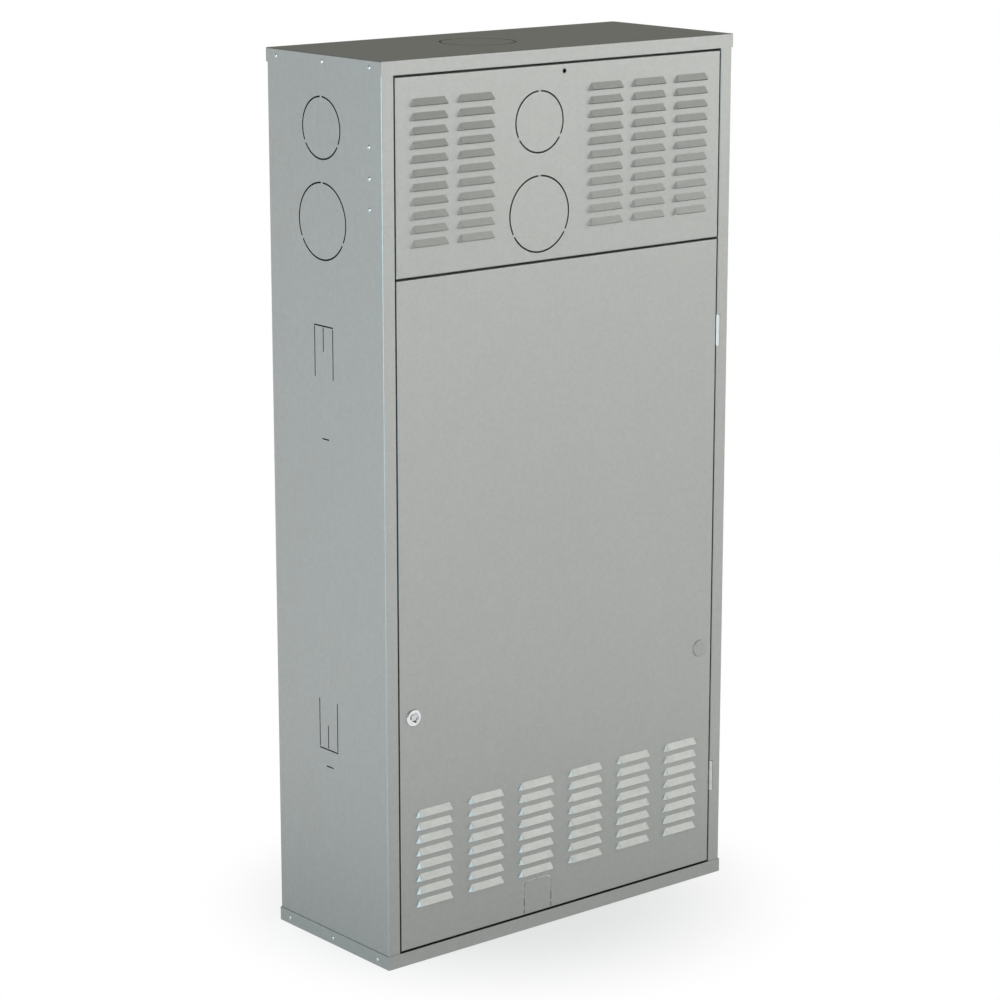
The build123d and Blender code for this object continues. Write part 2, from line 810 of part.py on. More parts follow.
def vessel_body(depth, inset):
    """Rounded body of the expansion vessel, set in from its outside by a wall on every side."""
    outline = RectangleRounded(vessel_width - 2 * inset, vessel_height - 2 * inset, vessel_corner - inset)
    plane = Plane(origin=(0, chassis_back_y - sheet - inset, vessel_z), x_dir=(1, 0, 0), z_dir=(0, -1, 0))
    body = extrude(plane * outline, amount=depth - 2 * inset)
    return fillet(body.edges().group_by(Axis.Y)[0], vessel_depth_round - inset)


def expansion_vessel():
    """Flat pressed vessel, hollow, with its welded seam and the port for its pipe at the foot."""
    back = chassis_back_y - sheet
    depth = back - chamber_back_y - face_clearance
    seam_outline = RectangleRounded(
        vessel_width + 2 * vessel_seam, vessel_height + 2 * vessel_seam, vessel_corner + vessel_seam
    )
    plane = Plane(origin=(0, back - depth / 2, vessel_z), x_dir=(1, 0, 0), z_dir=(0, -1, 0))
    seam = extrude(plane * seam_outline, amount=2 * sheet)
    port_start = (0, back - depth / 2 + vessel_port_radius, vessel_z - vessel_height / 2 - 2 * vessel_seam)
    port = rod(port_start, (0, 0, 1), vessel_port_radius, 4 * vessel_seam)
    return vessel_body(depth, 0) + seam - vessel_body(depth, vessel_wall) - port


def sealed_chamber():
    """Box round the burner and fan, open in front inside a turned-in rim."""
    half = chassis_half_width - sheet
    outside = block((-half, half), (chamber_front_y, chamber_back_y), (chamber_bottom, chamber_top))
    inner_x = (sheet - half, half - sheet)
    inner_z = (chamber_bottom + sheet, chamber_top - sheet)
    inner_y = (chamber_front_y + sheet, chamber_back_y - sheet)
    shape = outside - block(inner_x, inner_y, inner_z)
    rim_x = (chamber_rim - half, half - chamber_rim)
    rim_z = (chamber_bottom + chamber_rim, chamber_top - chamber_rim)
    shape -= block(rim_x, (chamber_front_y - sheet, chamber_front_y + 2 * sheet), rim_z)
    shape -= rod((flue_x, flue_y, chamber_top - 2 * sheet), (0, 0, 1), flue_inner_radius + sheet, 4 * sheet)
    passages = [(-riser_x, riser_y, pipe_radius), (riser_x, riser_y, pipe_radius)]
    passages += [(gas_riser_x, manifold_y, pipe_radius), (loom_top[0], loom_top[1], loom_radius)]
    for x, y, radius in passages:
        start = (x, y, chamber_bottom - sheet)
        shape -= rod(start, (0, 0, 1), radius + face_clearance, 3 * sheet)
    return shape


def chamber_gasket():
    """Soft seal between the chamber's rim and its cover."""
    half = chassis_half_width - sheet
    shape = block((-half, half), (chamber_front_y - gasket, chamber_front_y), (chamber_bottom, chamber_top))
    rim_x = (chamber_rim - half, half - chamber_rim)
    rim_z = (chamber_bottom + chamber_rim, chamber_top - chamber_rim)
    shape -= block(rim_x, (chamber_front_y - 2 * gasket, chamber_front_y + gasket), rim_z)
    return shape - [rod(place, (0, 1, 0), rivet_radius + 0.6, 3 * gasket) for place in cover_screw_places()]


def cover_screw_places():
    """Heads of the four cover screws."""
    half = chassis_half_width - sheet - chamber_rim / 2
    levels = (chamber_bottom + chamber_rim / 2, chamber_top - chamber_rim / 2)
    return [(x, chamber_front_y - gasket - sheet, z) for x in (-half, half) for z in levels]


def chamber_cover():
    """Front of the sealed chamber with its flanges bent back."""
    half = chassis_half_width - sheet + cover_overlap
    height = chamber_top - chamber_bottom + 2 * cover_overlap
    shape = pan(2 * half, height, cover_flange)
    shape = Pos(0, chamber_front_y - gasket - sheet, chamber_bottom - cover_overlap) * shape
    return shape - [rod(place, (0, 1, 0), rivet_radius + 0.6, 2 * sheet) for place in cover_screw_places()]


def cover_screws():
    """Four screws that hold the chamber's cover."""
    screws = []
    for x, y, z in cover_screw_places():
        head = rod((x, y, z), (0, -1, 0), cover_screw_radius, 2.2)
        head = fillet(head.edges().group_by(Axis.Y)[0], 0.8)
        screws.append(head + rod((x, y, z), (0, 1, 0), rivet_radius, gasket + sheet))
    return Compound(children=screws)


def combustion_chamber():
    """Open sheet box between the burner and the heat exchanger."""
    x_range = (-core_half_width, core_half_width)
    outside = block(x_range, (core_front_y, core_back_y), (rack_top, exchanger_bottom))
    inner_x = (sheet - core_half_width, core_half_width - sheet)
    inner_y = (core_front_y + sheet, core_back_y - sheet)
    return outside - block(inner_x, inner_y, (rack_top - 1, exchanger_bottom + 1))


def combustion_insulation():
    """Four fibre boards that line the combustion chamber."""
    x = core_half_width - sheet
    front = core_front_y + sheet
    back = core_back_y - sheet
    z_range = (rack_top, exchanger_bottom)
    boards = [
        block((-x, x), (front, front + insulation), z_range),
        block((-x, x), (back - insulation, back), z_range),
        block((-x, insulation - x), (front + insulation, back - insulation), z_range),
        block((x - insulation, x), (front + insulation, back - insulation), z_range),
    ]
    return Compound(children=boards)


def heat_exchanger():
    """Finned copper core with five tubes and a header at each end."""
    x = core_half_width
    y_range = (core_front_y, core_back_y)
    z_range = (exchanger_bottom, exchanger_top)
    pitch = (2 * x - fin_thickness) / (exchanger_fins - 1)
    fins = []
    for index in range(exchanger_fins):
        left = -x + pitch * index
        fins.append(block((left, left + fin_thickness), y_range, z_range))
    tube_z = (exchanger_bottom + exchanger_top) / 2
    step = (core_back_y - core_front_y) / exchanger_tubes
    tubes = []
    for index in range(exchanger_tubes):
        start = (-x, core_front_y + step * (index + 0.5), tube_z)
        tubes.append(rod(start, (1, 0, 0), exchanger_tube_radius, 2 * x))
    header_y = (core_front_y + 6, core_back_y - 6)
    header_z = (tube_z - 18, tube_z + 18)
    headers = [block((x, x + header_length), header_y, header_z)]
    headers.append(block((-x - header_length, -x), header_y, header_z))
    sides = [block((-x, x), (core_front_y, core_front_y + sheet), z_range)]
    sides.append(block((-x, x), (core_back_y - sheet, core_back_y), z_range))
    return fins[0] + fins[1:] + tubes + headers + sides


def fume_hood():
    """Hood over the exchanger with the duct that leads to the fan's inlet."""
    x = core_half_width
    depth = core_back_y - core_front_y
    centre_y = (core_back_y + core_front_y) / 2
    duct_half = fan_inlet_radius + 4
    duct_y = (fan_back_y + face_clearance, core_back_y)

    def shell(grow):
        base = Pos(0, centre_y, exchanger_top) * Rectangle(2 * (x - grow), depth - 2 * grow)
        top_size = (2 * (duct_half + 20 - grow), depth - 2 * grow)
        top = Pos(fan_x, centre_y, hood_top - grow) * Rectangle(*top_size)
        return loft([base, top])

    duct = block((fan_x - duct_half, fan_x + duct_half), duct_y, (hood_top - 2, fan_z + duct_half))
    bore_x = (fan_x - duct_half + sheet, fan_x + duct_half - sheet)
    bore_y = (duct_y[0] + sheet, duct_y[1] - sheet)
    bore = block(bore_x, bore_y, (hood_top - 5, fan_z + duct_half - sheet))
    inlet = rod((fan_x, duct_y[0] - 1, fan_z), (0, 1, 0), fan_inlet_radius, 3 * sheet)
    return (shell(0) + duct) - shell(sheet) - bore - inlet


def fan_housing():
    """Round fan casing with its outlet duct up to the flue."""
    length = fan_back_y - fan_front_y
    casing = rod((fan_x, fan_front_y, fan_z), (0, 1, 0), fan_radius, length)
    duct_top = chamber_top - 2 * sheet - 8
    half = flue_inner_radius - 5
    duct = block((flue_x - half, flue_x + half), (fan_front_y, fan_back_y), (fan_z, duct_top))
    inside = rod((fan_x, fan_front_y + sheet, fan_z), (0, 1, 0), fan_radius - sheet, length - 2 * sheet)
    bore_x = (flue_x - half + sheet, flue_x + half - sheet)
    bore = block(bore_x, (fan_front_y + sheet, fan_back_y - sheet), (fan_z, duct_top + 1))
    inlet = rod((fan_x, fan_back_y - 2 * sheet, fan_z), (0, 1, 0), fan_inlet_radius, 3 * sheet)
    shaft_hole = rod((fan_x, fan_front_y - 1, fan_z), (0, 1, 0), fan_shaft_radius + 1, 3 * sheet)
    return (casing + duct) - inside - bore - inlet - shaft_hole


def fan_wheel():
    """Bladed wheel on the motor's shaft."""
    disc_y = fan_front_y + 8
    wheel_width = fan_back_y - 8 - disc_y
    plane = Plane(origin=(fan_x, disc_y, fan_z), x_dir=(1, 0, 0), z_dir=(0, 1, 0))
    vane = Pos(fan_wheel_radius - 7, 0) * Rectangle(12, 1.6)
    vanes = [Rot(0, 0, index * 360 / fan_blades) * vane for index in range(fan_blades)]
    shape = extrude(plane * Circle(fan_wheel_radius), amount=2)
    shape += [extrude(plane * item, amount=wheel_width) for item in vanes]
    rim = Circle(fan_wheel_radius) - Circle(fan_wheel_radius - 10)
    shape += extrude(plane.offset(wheel_width - 2) * rim, amount=2)
    shape += extrude(plane * Circle(2.2 * fan_shaft_radius), amount=14)
    shaft_start = (fan_x, fan_motor_front_y + 10, fan_z)
    return shape + rod(shaft_start, (0, 1, 0), fan_shaft_radius, disc_y - fan_motor_front_y - 9)


def fan_motor():
    """Motor on the front of the fan casing."""
    length = fan_front_y - fan_motor_front_y
    shape = rod((fan_x, fan_motor_front_y, fan_z), (0, 1, 0), fan_motor_radius, length)
    shape = fillet(shape.edges().group_by(Axis.Y)[0], 5)
    bore = fan_shaft_radius + running_clearance
    return shape - rod((fan_x, fan_motor_front_y + 8, fan_z), (0, 1, 0), bore, length)


def flue_collar():
    """Double collar on the chamber's top: an inner fume tube inside the air ring."""
    flange = rod((flue_x, flue_y, chamber_top), (0, 0, 1), flue_outer_radius + 4, 2)
    flange -= rod((flue_x, flue_y, chamber_top - 1), (0, 0, 1), flue_outer_radius - 6, 4)
    height = flue_collar_top - chamber_top
    ring_start = (flue_x, flue_y, chamber_top)
    ring = hollow_rod(ring_start, (0, 0, 1), flue_outer_radius, flue_outer_radius - sheet, height)
    tube_start = chamber_top - 9
    tube = hollow_rod(
        (flue_x, flue_y, tube_start), (0, 0, 1), flue_inner_radius, flue_inner_radius - sheet, height + 14
    )
    shape = flange + ring + tube
    web_length = flue_outer_radius - flue_inner_radius
    for index in range(bridge_count):
        web = block((flue_inner_radius - 0.5, flue_inner_radius + web_length - 0.5), (-1, 1), (0, 10))
        shape += Pos(flue_x, flue_y, chamber_top) * Rot(0, 0, 90 + index * 360 / bridge_count) * web
    return shape


def burner():
    """Row of flat burner blades between two end plates that stand on the chamber's floor."""
    pitch = 2 * rack_half_width / burner_blades_count
    y_range = (core_front_y + 4, core_back_y - 3)
    blades = []
    for index in range(burner_blades_count):
        centre = -rack_half_width + pitch * (index + 0.5)
        x_range = (centre - burner_blade_width / 2, centre + burner_blade_width / 2)
        blades.append(block(x_range, y_range, (burner_bottom, burner_top)))
    bars = []
    for y in (core_front_y + 12, core_back_y - 20):
        x_range = (-rack_half_width, rack_half_width)
        bars.append(block(x_range, (y, y + 8), (burner_bottom + 8, burner_bottom + 16)))
    plates = []
    for left in (-rack_half_width - rack_sheet, rack_half_width):
        depth = (chamber_front_y + rack_sheet, core_back_y)
        plate = block((left, left + rack_sheet), depth, (chamber_bottom + sheet, rack_top))
        hole_start = (left - 1, manifold_y, manifold_z)
        plate -= rod(hole_start, (1, 0, 0), manifold_radius + manifold_clearance, rack_sheet + 2)
        plates.append(plate)
    shape = bars[0] + bars[1:] + blades + plates
    for index in range(burner_blades_count):
        centre = -rack_half_width + pitch * (index + 0.5)
        shape -= rod((centre, y_range[0] - 1, manifold_z), (0, 1, 0), injector_radius + 1, 12)
    return shape


def gas_manifold():
    """Pipe along the burner with one injector for each blade and a boss for the supply."""
    reach = rack_half_width + rack_sheet + 3
    shape = rod((-reach, manifold_y, manifold_z), (1, 0, 0), manifold_radius, 2 * reach)
    pitch = 2 * rack_half_width / burner_blades_count
    length = core_front_y + 4 - manifold_y + 4
    for index in range(burner_blades_count):
        centre = -rack_half_width + pitch * (index + 0.5)
        shape += rod((centre, manifold_y, manifold_z), (0, 1, 0), injector_radius, length)
    return shape + rod((gas_riser_x, manifold_y, manifold_z), (0, 0, -1), pipe_radius, 20)


def wiring_loom():
    """Bundle of leads from the control box up into the sealed chamber."""
    points = [
        loom_start,
        (loom_start[0], loom_start[1], control_top + 45),
        (loom_top[0], loom_top[1], chamber_bottom - 55),
        (loom_top[0], loom_top[1], chamber_bottom + 22),
    ]
    return pipe(points, loom_radius, 30, 0)


def gas_riser():
    """Pipe from the gas valve up to the manifold's boss."""
    return pipe([(gas_riser_x, manifold_y, gas_valve_top), (gas_riser_x, manifold_y, manifold_z - 20)])


def gas_valve():
    """Gas control valve with two solenoids and a modulation coil."""
    x_range = (gas_riser_x - gas_valve_half_width, gas_riser_x + gas_valve_half_width)
    body = block(x_range, (manifold_y - 8, -14), (gas_valve_bottom, gas_valve_top))
    body = fillet(body.edges().filter_by(Axis.Z), 4)
    body += rod((gas_riser_x, gas_inlet_y, gas_valve_bottom), (0, 0, -1), pipe_radius + 3, 8)
    for x in (gas_riser_x - 18, gas_riser_x + 18):
        body += rod((x, -28, gas_valve_top), (0, 0, 1), 12, 26)
    return body


def gas_pipe():
    """Pipe from the gas stop valve up to the gas valve."""
    points = [
        (0, pipe_y, valve_top),
        (0, pipe_y, gas_valve_bottom - 60),
        (gas_riser_x, gas_inlet_y, gas_valve_bottom - 40),
        (gas_riser_x, gas_inlet_y, gas_valve_bottom - 8),
    ]
    return pipe(points)


def gas_pipes():
    """Both gas pipes, below and above the gas valve."""
    return Compound(children=[gas_riser(), gas_pipe()])


def flow_pipe():
    """Pipe from the flow block up to the heat exchanger's left header."""
    tube_z = (exchanger_bottom + exchanger_top) / 2
    points = [
        (-2 * pipe_pitch, pipe_y, block_top),
        (-2 * pipe_pitch, pipe_y, block_top + 50),
        (-riser_x, riser_y, block_top + 90),
        (-riser_x, riser_y, tube_z),
        (-core_half_width - header_length, riser_y, tube_z),
    ]
    return pipe(points)


def return_pipe():
    """Pipe from the pump up to the heat exchanger's right header."""
    tube_z = (exchanger_bottom + exchanger_top) / 2
    port_top = pump_z + pump_radius + 8
    points = [
        (2 * pipe_pitch, pipe_y, port_top),
        (2 * pipe_pitch, pipe_y, port_top + 24),
        (riser_x, riser_y, port_top + 50),
        (riser_x, riser_y, tube_z),
        (core_half_width + header_length, riser_y, tube_z),
    ]
    return pipe(points)


def hydraulic_block(side):
    """Brass block under the risers with a boss to the plate heat exchanger."""
    x = side * 2 * pipe_pitch
    z_range = (block_bottom, block_top)
    shape = block((x - block_half_width, x + block_half_width), (block_front_y, block_back_y), z_range)
    shape = fillet(shape.edges(), 3)
    inner = side * plate_exchanger_half
    reach = abs(x) - block_half_width - plate_exchanger_half
    level = (block_bottom + block_top) / 2
    return shape + rod((inner, boss_y, level), (side, 0, 0), boss_radius, reach + 5)


def flow_block():
    """Left block, which holds the diverter valve."""
    return hydraulic_block(-1)


def return_block():
    """Right block with its neck up to the pump and the safety valve's body in front."""
    x = 2 * pipe_pitch
    neck_length = pump_z - pump_radius - 8 - block_top
    shape = hydraulic_block(1) + rod((x, pipe_y, block_top), (0, 0, 1), pump_port_radius, neck_length)
    level = (block_bottom + block_top) / 2
    return shape + rod((x, block_front_y, level), (0, -1, 0), 12, 30)


def hydraulic_blocks():
    """Both brass blocks."""
    return Compound(children=[flow_block(), return_block()])


def diverter_motor():
    """Small motor in front of the flow block."""
    level = (block_bottom + block_top) / 2
    start = (-2 * pipe_pitch, block_front_y, level)
    shape = rod(start, (0, -1, 0), 18, 44)
    return fillet(shape.edges().group_by(Axis.Y)[0], 3)


def plate_heat_exchanger():
    """Stack of brazed plates with front ports for the hot water pipes."""
    half = plate_exchanger_half
    z_range = (plate_exchanger_bottom, plate_exchanger_top)
    depth = plate_exchanger_back_y - plate_exchanger_front_y
    pitch = depth / plate_exchanger_plates
    inner_z = (z_range[0] + 2, z_range[1] - 2)
    shape = block((2 - half, half - 2), (plate_exchanger_front_y, plate_exchanger_back_y), inner_z)
    plates = []
    for index in range(plate_exchanger_plates):
        front = plate_exchanger_front_y + pitch * index
        plate = block((-half, half), (front, front + pitch * 0.6), z_range)
        plates.append(fillet(plate.edges().filter_by(Axis.Y), 12))
    return shape + plates


def branch_pipe(side):
    """Hot water pipe from a stop valve or union up to the plate heat exchanger."""
    level = (plate_exchanger_bottom + plate_exchanger_top) / 2
    points = [
        (side * pipe_pitch, pipe_y, valve_top),
        (side * pipe_pitch, pipe_y, level),
        (side * pipe_pitch, plate_exchanger_front_y, level),
    ]
    return pipe(points, pipe_radius - 1, 9.5)


def main_pipe(side):
    """Straight heating pipe between a stop valve and its block."""
    x = side * 2 * pipe_pitch
    return pipe([(x, pipe_y, valve_top), (x, pipe_y, block_bottom)])


def water_pipes():
    """The risers of the heating circuit and the four pipes down to the connections."""
    pipes = [flow_pipe(), return_pipe()]
    pipes += [main_pipe(side) for side in (-1, 1)]
    pipes += [branch_pipe(side) for side in (-1, 1)]
    return Compound(children=pipes)


def pump_housing():
    """Volute with its two ports."""
    x = 2 * pipe_pitch
    shape = rod((x, pump_split_y, pump_z), (0, 1, 0), pump_radius, pump_back_y - pump_split_y)
    shape = chamfer(shape.edges().group_by(Axis.Y)[-1], 7)
    port_length = pump_radius + 8
    shape += rod((x, pipe_y, pump_z), (0, 0, 1), pump_port_radius, port_length)
    shape += rod((x, pipe_y, pump_z), (0, 0, -1), pump_port_radius, port_length)
    cavity = rod((x, pump_split_y - 1, pump_z), (0, 1, 0), pump_impeller_radius + 3, 17)
    return shape - cavity


def pump_motor():
    """Round pump motor with its terminal box."""
    x = 2 * pipe_pitch
    length = pump_split_y - pump_motor_front_y
    shape = rod((x, pump_motor_front_y, pump_z), (0, 1, 0), pump_motor_radius, length)
    shape = fillet(shape.edges().group_by(Axis.Y)[0], 6)
    bore_radius = fan_shaft_radius + running_clearance
    shape -= rod((x, pump_motor_front_y + 12, pump_z), (0, 1, 0), bore_radius, length)
    return shape


def pump_impeller():
    """Impeller with its shaft in the motor."""
    x = 2 * pipe_pitch
    front = pump_split_y + 2
    shape = rod((x, front, pump_z), (0, 1, 0), pump_impeller_radius, 3)
    shape += rod((x, front, pump_z), (0, 1, 0), 8, 12)
    blade = block((7, pump_impeller_radius - 1), (front, front + 12), (-1, 1))
    shape += [Pos(x, 0, pump_z) * Rot(0, index * 60, 0) * blade for index in range(6)]
    shaft_start = pump_motor_front_y + 14
    return shape + rod((x, shaft_start, pump_z), (0, 1, 0), fan_shaft_radius, front - shaft_start)


def safety_valve_cap():
    """Ribbed cap that is turned to drain the safety valve."""
    level = (block_bottom + block_top) / 2
    start = (2 * pipe_pitch, block_front_y - 30 - face_clearance, level)
    shape = rod(start, (0, -1, 0), 16, 16)
    notches = []
    for index in range(12):
        notch = rod((17, start[1] + 1, 0), (0, -1, 0), 2, 18)
        notches.append(Pos(2 * pipe_pitch, 0, level) * Rot(0, index * 30, 0) * notch)
    return shape - notches


def connection_rail():
    """Plate across the frame's foot that steadies the five pipes."""
    half = chassis_half_width - end_gap
    y_range = (pipe_y - rail_front_reach, chassis_back_y - sheet)
    shape = block((-half, half), y_range, (chassis_bottom, chassis_bottom + 2 * sheet))
    for x in pipe_places:
        start = (x, pipe_y, chassis_bottom - 1)
        shape -= rod(start, (0, 0, 1), pipe_radius + rail_clearance, 4 * sheet)
    return shape


def stop_valves():
    """Brass bodies on the five lines. Four have a stem boss and one is a plain union."""
    bodies = []
    for x in pipe_places:
        body = rod((x, pipe_y, valve_bottom), (0, 0, 1), valve_radius, valve_top - valve_bottom)
        body = fillet(body.edges(), 2)
        level = (valve_bottom + valve_top) / 2
        if x in valve_places:
            boss_length = pipe_y - lever_y - lever_thickness - face_clearance
            body += rod((x, pipe_y, level), (0, -1, 0), 7, boss_length)
            stem_bore = valve_stem_radius + running_clearance
            body -= rod((x, lever_y, level), (0, 1, 0), stem_bore, pipe_y - lever_y - 2)
        bodies.append(body)
    return Compound(children=bodies)


def valve_lever(x):
    """Lever of one stop valve with its stem. It stands upright while the valve is open."""
    level = (valve_bottom + valve_top) / 2
    plane = Plane(origin=(x, lever_y, level), x_dir=(1, 0, 0), z_dir=(0, -1, 0))
    outline = Pos(0, lever_length / 2) * SlotOverall(lever_length + lever_width, lever_width, rotation=90)
    handle = extrude(plane * outline, amount=-lever_thickness)
    hub = rod((x, lever_y, level), (0, -1, 0), 6, 2)
    stem_length = pipe_y - lever_y - 4
    return handle + hub + rod((x, lever_y, level), (0, 1, 0), valve_stem_radius, stem_length)


def connection_tails():
    """Five pipe ends with their union nuts, ready for the pipes in the wall."""
    tails = []
    for x in pipe_places:
        tail = rod((x, pipe_y, tail_end_z), (0, 0, 1), tail_radius, valve_bottom - tail_end_z)
        nut_place = Pos(x, pipe_y, valve_bottom - tail_nut_height)
        nut = extrude(nut_place * RegularPolygon(tail_nut_radius, 6), amount=tail_nut_height)
        bore = rod((x, pipe_y, tail_end_z), (0, 0, 1), tail_radius - pipe_wall, valve_bottom - tail_end_z)
        tails.append(tail + nut - bore)
    return Compound(children=tails)


def control_box():
    """Moulded box with its front fascia and the holes for knobs, button, lamps and gauge."""
    half = control_half_width
    outside = block((-half, half), (control_front_y, control_back_y), (control_bottom, control_top))
    outside = fillet(outside.edges().group_by(Axis.Y)[0], 3)
    wall = control_wall
    inner_x = (wall - half, half - wall)
    inner_z = (control_bottom + wall, control_top - wall)
    shape = outside - block(inner_x, (control_front_y + wall, control_back_y - wall), inner_z)
    holes = [(x, knob_shaft_radius + 0.5) for x in knob_positions]
    holes.append((button_x, button_radius + 0.2))
    holes.append((gauge_x, gauge_radius + 0.2))
    holes += [(x, lamp_radius + 0.1) for x in lamp_x]
    for x, radius in holes:
        shape -= rod((x, control_front_y - 1, knob_z), (0, 1, 0), radius, wall + 2)
    loom_foot = (loom_start[0], loom_start[1], control_top - wall - 1)
    loom_hole = rod(loom_foot, (0, 0, 1), loom_radius + 0.5, wall + 2)
    arm_z = (control_bottom + 20, control_bottom + 50)
    for side in (-1, 1):
        arm_x = sorted((side * (half - 6), side * half))
        shape += block(arm_x, (control_back_y, chassis_front_y), arm_z)
        tab_x = sorted((side * (half - 6), side * (chassis_half_width - sheet)))
        shape += block(tab_x, (chassis_front_y, chassis_front_y + 10), arm_z)
    return shape - loom_hole


def control_board():
    """Circuit board with its potentiometers, the switch behind the button and the lamps."""
    half = control_half_width - control_wall
    y_range = (board_y, board_y + 1.6)
    z_range = (control_bottom + control_wall, control_top - control_wall)
    shape = block((-half, half), y_range, z_range)
    for x in knob_positions:
        pot_y = (board_y - 9, board_y)
        pot = block((x - 10, x + 10), pot_y, (knob_z - 10, knob_z + 10))
        bore = rod((x, pot_y[0] - 1, knob_z), (0, 1, 0), knob_shaft_radius + running_clearance, 9)
        shape += pot - bore
    switch_front = control_front_y + control_wall + 8 + button_travel
    shape += block((button_x - 6, button_x + 6), (switch_front, board_y), (knob_z - 6, knob_z + 6))
    for x in lamp_x:
        shape += rod((x, board_y, knob_z), (0, -1, 0), lamp_radius, board_y - control_front_y + 1)
    return shape


def control_knob(x):
    """Turning knob with a pointer rib and a shaft in its potentiometer."""
    back = control_front_y - face_clearance
    shape = rod((x, back, knob_z), (0, -1, 0), knob_radius, knob_height)
    shape = fillet(shape.edges().group_by(Axis.Y)[0], 2)
    front = back - knob_height
    shape += block((x - 1.5, x + 1.5), (front - 1.2, front + 1), (knob_z, knob_z + knob_radius - 3))
    shaft_length = board_y - back - 3
    return shape + rod((x, back, knob_z), (0, 1, 0), knob_shaft_radius, shaft_length)


def reset_button():
    """Push button in the fascia with a collar behind it."""
    start = (button_x, control_front_y - button_height, knob_z)
    length = button_height + control_wall + 8 - face_clearance
    shape = rod(start, (0, 1, 0), button_radius, length)
    collar = (button_x, control_front_y + control_wall + face_clearance, knob_z)
    return shape + rod(collar, (0, 1, 0), button_radius + 1.5, 2)


def pressure_gauge():
    """Round gauge in the fascia with a recessed dial and a spindle."""
    start = (gauge_x, control_front_y - 3, knob_z)
    shape = rod(start, (0, 1, 0), gauge_radius, board_y - control_front_y + 3)
    shape += rod(start, (0, 1, 0), gauge_radius + 3, 3)
    shape -= rod(start, (0, 1, 0), gauge_radius - 1.5, 5)
    return shape + rod((gauge_x, start[1] + 5, knob_z), (0, -1, 0), 1.2, 3.2)


def gauge_needle():
    """Needle of the pressure gauge, at zero."""
    hub = hollow_rod((gauge_x, control_front_y + 1.4, knob_z), (0, -1, 0), 3, 1.2 + running_clearance, 1.6)
    tip = gauge_radius - 4
    pointer = block((-0.7, 0.7), (control_front_y + 0.2, control_front_y + 1.0), (2.5, tip))
    return hub + Pos(gauge_x, 0, knob_z) * Rot(0, 225, 0) * pointer


def all_parts():
    """Every node's name and shape."""
    parts = {
        "back_panel": back_panel(),
        "left_side_panel": left_side_panel(),
        "right_side_panel": right_side_panel(),
        "top_cap": top_cap(),
        "bottom_tray": bottom_tray(),
        "top_stop_rail": top_stop_rail(),
        "middle_rail": middle_rail(),
        "panel_brackets": Compound(children=[panel_bracket(), mirrored(panel_bracket())]),
        "cabinet_rivets": cabinet_rivets(),
        "hinge_frame_leaves": Compound(children=[frame_leaf(level) for level in hinge_levels]),
        "hinge_pins": Compound(children=[hinge_pin(level) for level in hinge_levels]),
        "upper_front_panel": upper_panel(),
        "door_panel": door_panel(),
        "hinge_door_leaves": Compound(children=[door_leaf(level) for level in hinge_levels]),
        "blind_plug": blind_plug(),
        "lock_housing": lock_housing(),
        "lock_nut": lock_nut(),
        "lock_spindle": lock_spindle(),
        "lock_cam": lock_cam(),
        "lock_cam_screw": cam_screw(),
        "boiler_chassis": boiler_chassis(),
        "boiler_brackets": boiler_brackets(),
        "expansion_vessel": expansion_vessel(),
        "sealed_chamber": sealed_chamber(),
        "chamber_gasket": chamber_gasket(),
        "chamber_cover": chamber_cover(),
        "chamber_cover_screws": cover_screws(),
        "combustion_chamber": combustion_chamber(),
        "combustion_insulation": combustion_insulation(),
        "heat_exchanger": heat_exchanger(),
        "fume_hood": fume_hood(),
        "fan_housing": fan_housing(),
        "fan_wheel": fan_wheel(),
        "fan_motor": fan_motor(),
        "flue_collar": flue_collar(),
        "burner": burner(),
        "gas_manifold": gas_manifold(),
        "wiring_loom": wiring_loom(),
        "gas_valve": gas_valve(),
        "gas_pipes": gas_pipes(),
        "water_pipes": water_pipes(),
        "hydraulic_blocks": hydraulic_blocks(),
        "diverter_motor": diverter_motor(),
        "plate_heat_exchanger": plate_heat_exchanger(),
        "pump_housing": pump_housing(),
        "pump_motor": pump_motor(),
        "pump_impeller": pump_impeller(),
        "safety_valve_cap": safety_valve_cap(),
        "connection_rail": connection_rail(),
        "stop_valves": stop_valves(),
        "gas_valve_lever": valve_lever(valve_places[0]),
        "water_valve_lever": valve_lever(valve_places[1]),
        "connection_tails": connection_tails(),
        "control_box": control_box(),
        "control_board": control_board(),
        "heating_knob": control_knob(knob_positions[0]),
        "water_knob": control_knob(knob_positions[1]),
        "reset_button": reset_button(),
        "pressure_gauge": pressure_gauge(),
        "gauge_needle": gauge_needle(),
    }
    return parts


os.makedirs("parts", exist_ok=True)
for name, shape in all_parts().items():
    export_step(shape, f"parts/{name}.step")
    print(name, round(shape.volume))
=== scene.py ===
import json
import math

import bmesh
import bpy
from mathutils import Matrix, Vector


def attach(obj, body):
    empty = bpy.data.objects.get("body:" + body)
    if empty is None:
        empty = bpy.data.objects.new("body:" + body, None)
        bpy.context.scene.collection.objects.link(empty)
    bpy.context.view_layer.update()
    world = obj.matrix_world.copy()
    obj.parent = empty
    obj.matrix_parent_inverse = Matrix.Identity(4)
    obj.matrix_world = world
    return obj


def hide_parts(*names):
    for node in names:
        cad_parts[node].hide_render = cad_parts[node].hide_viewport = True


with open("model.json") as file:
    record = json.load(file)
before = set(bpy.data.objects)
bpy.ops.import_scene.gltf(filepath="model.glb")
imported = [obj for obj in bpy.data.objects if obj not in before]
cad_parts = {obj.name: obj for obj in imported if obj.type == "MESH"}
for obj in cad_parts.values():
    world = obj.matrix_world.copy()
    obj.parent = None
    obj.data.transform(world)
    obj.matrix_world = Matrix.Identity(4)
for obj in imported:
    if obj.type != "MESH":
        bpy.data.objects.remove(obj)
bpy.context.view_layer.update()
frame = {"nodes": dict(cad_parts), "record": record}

scene = bpy.context.scene

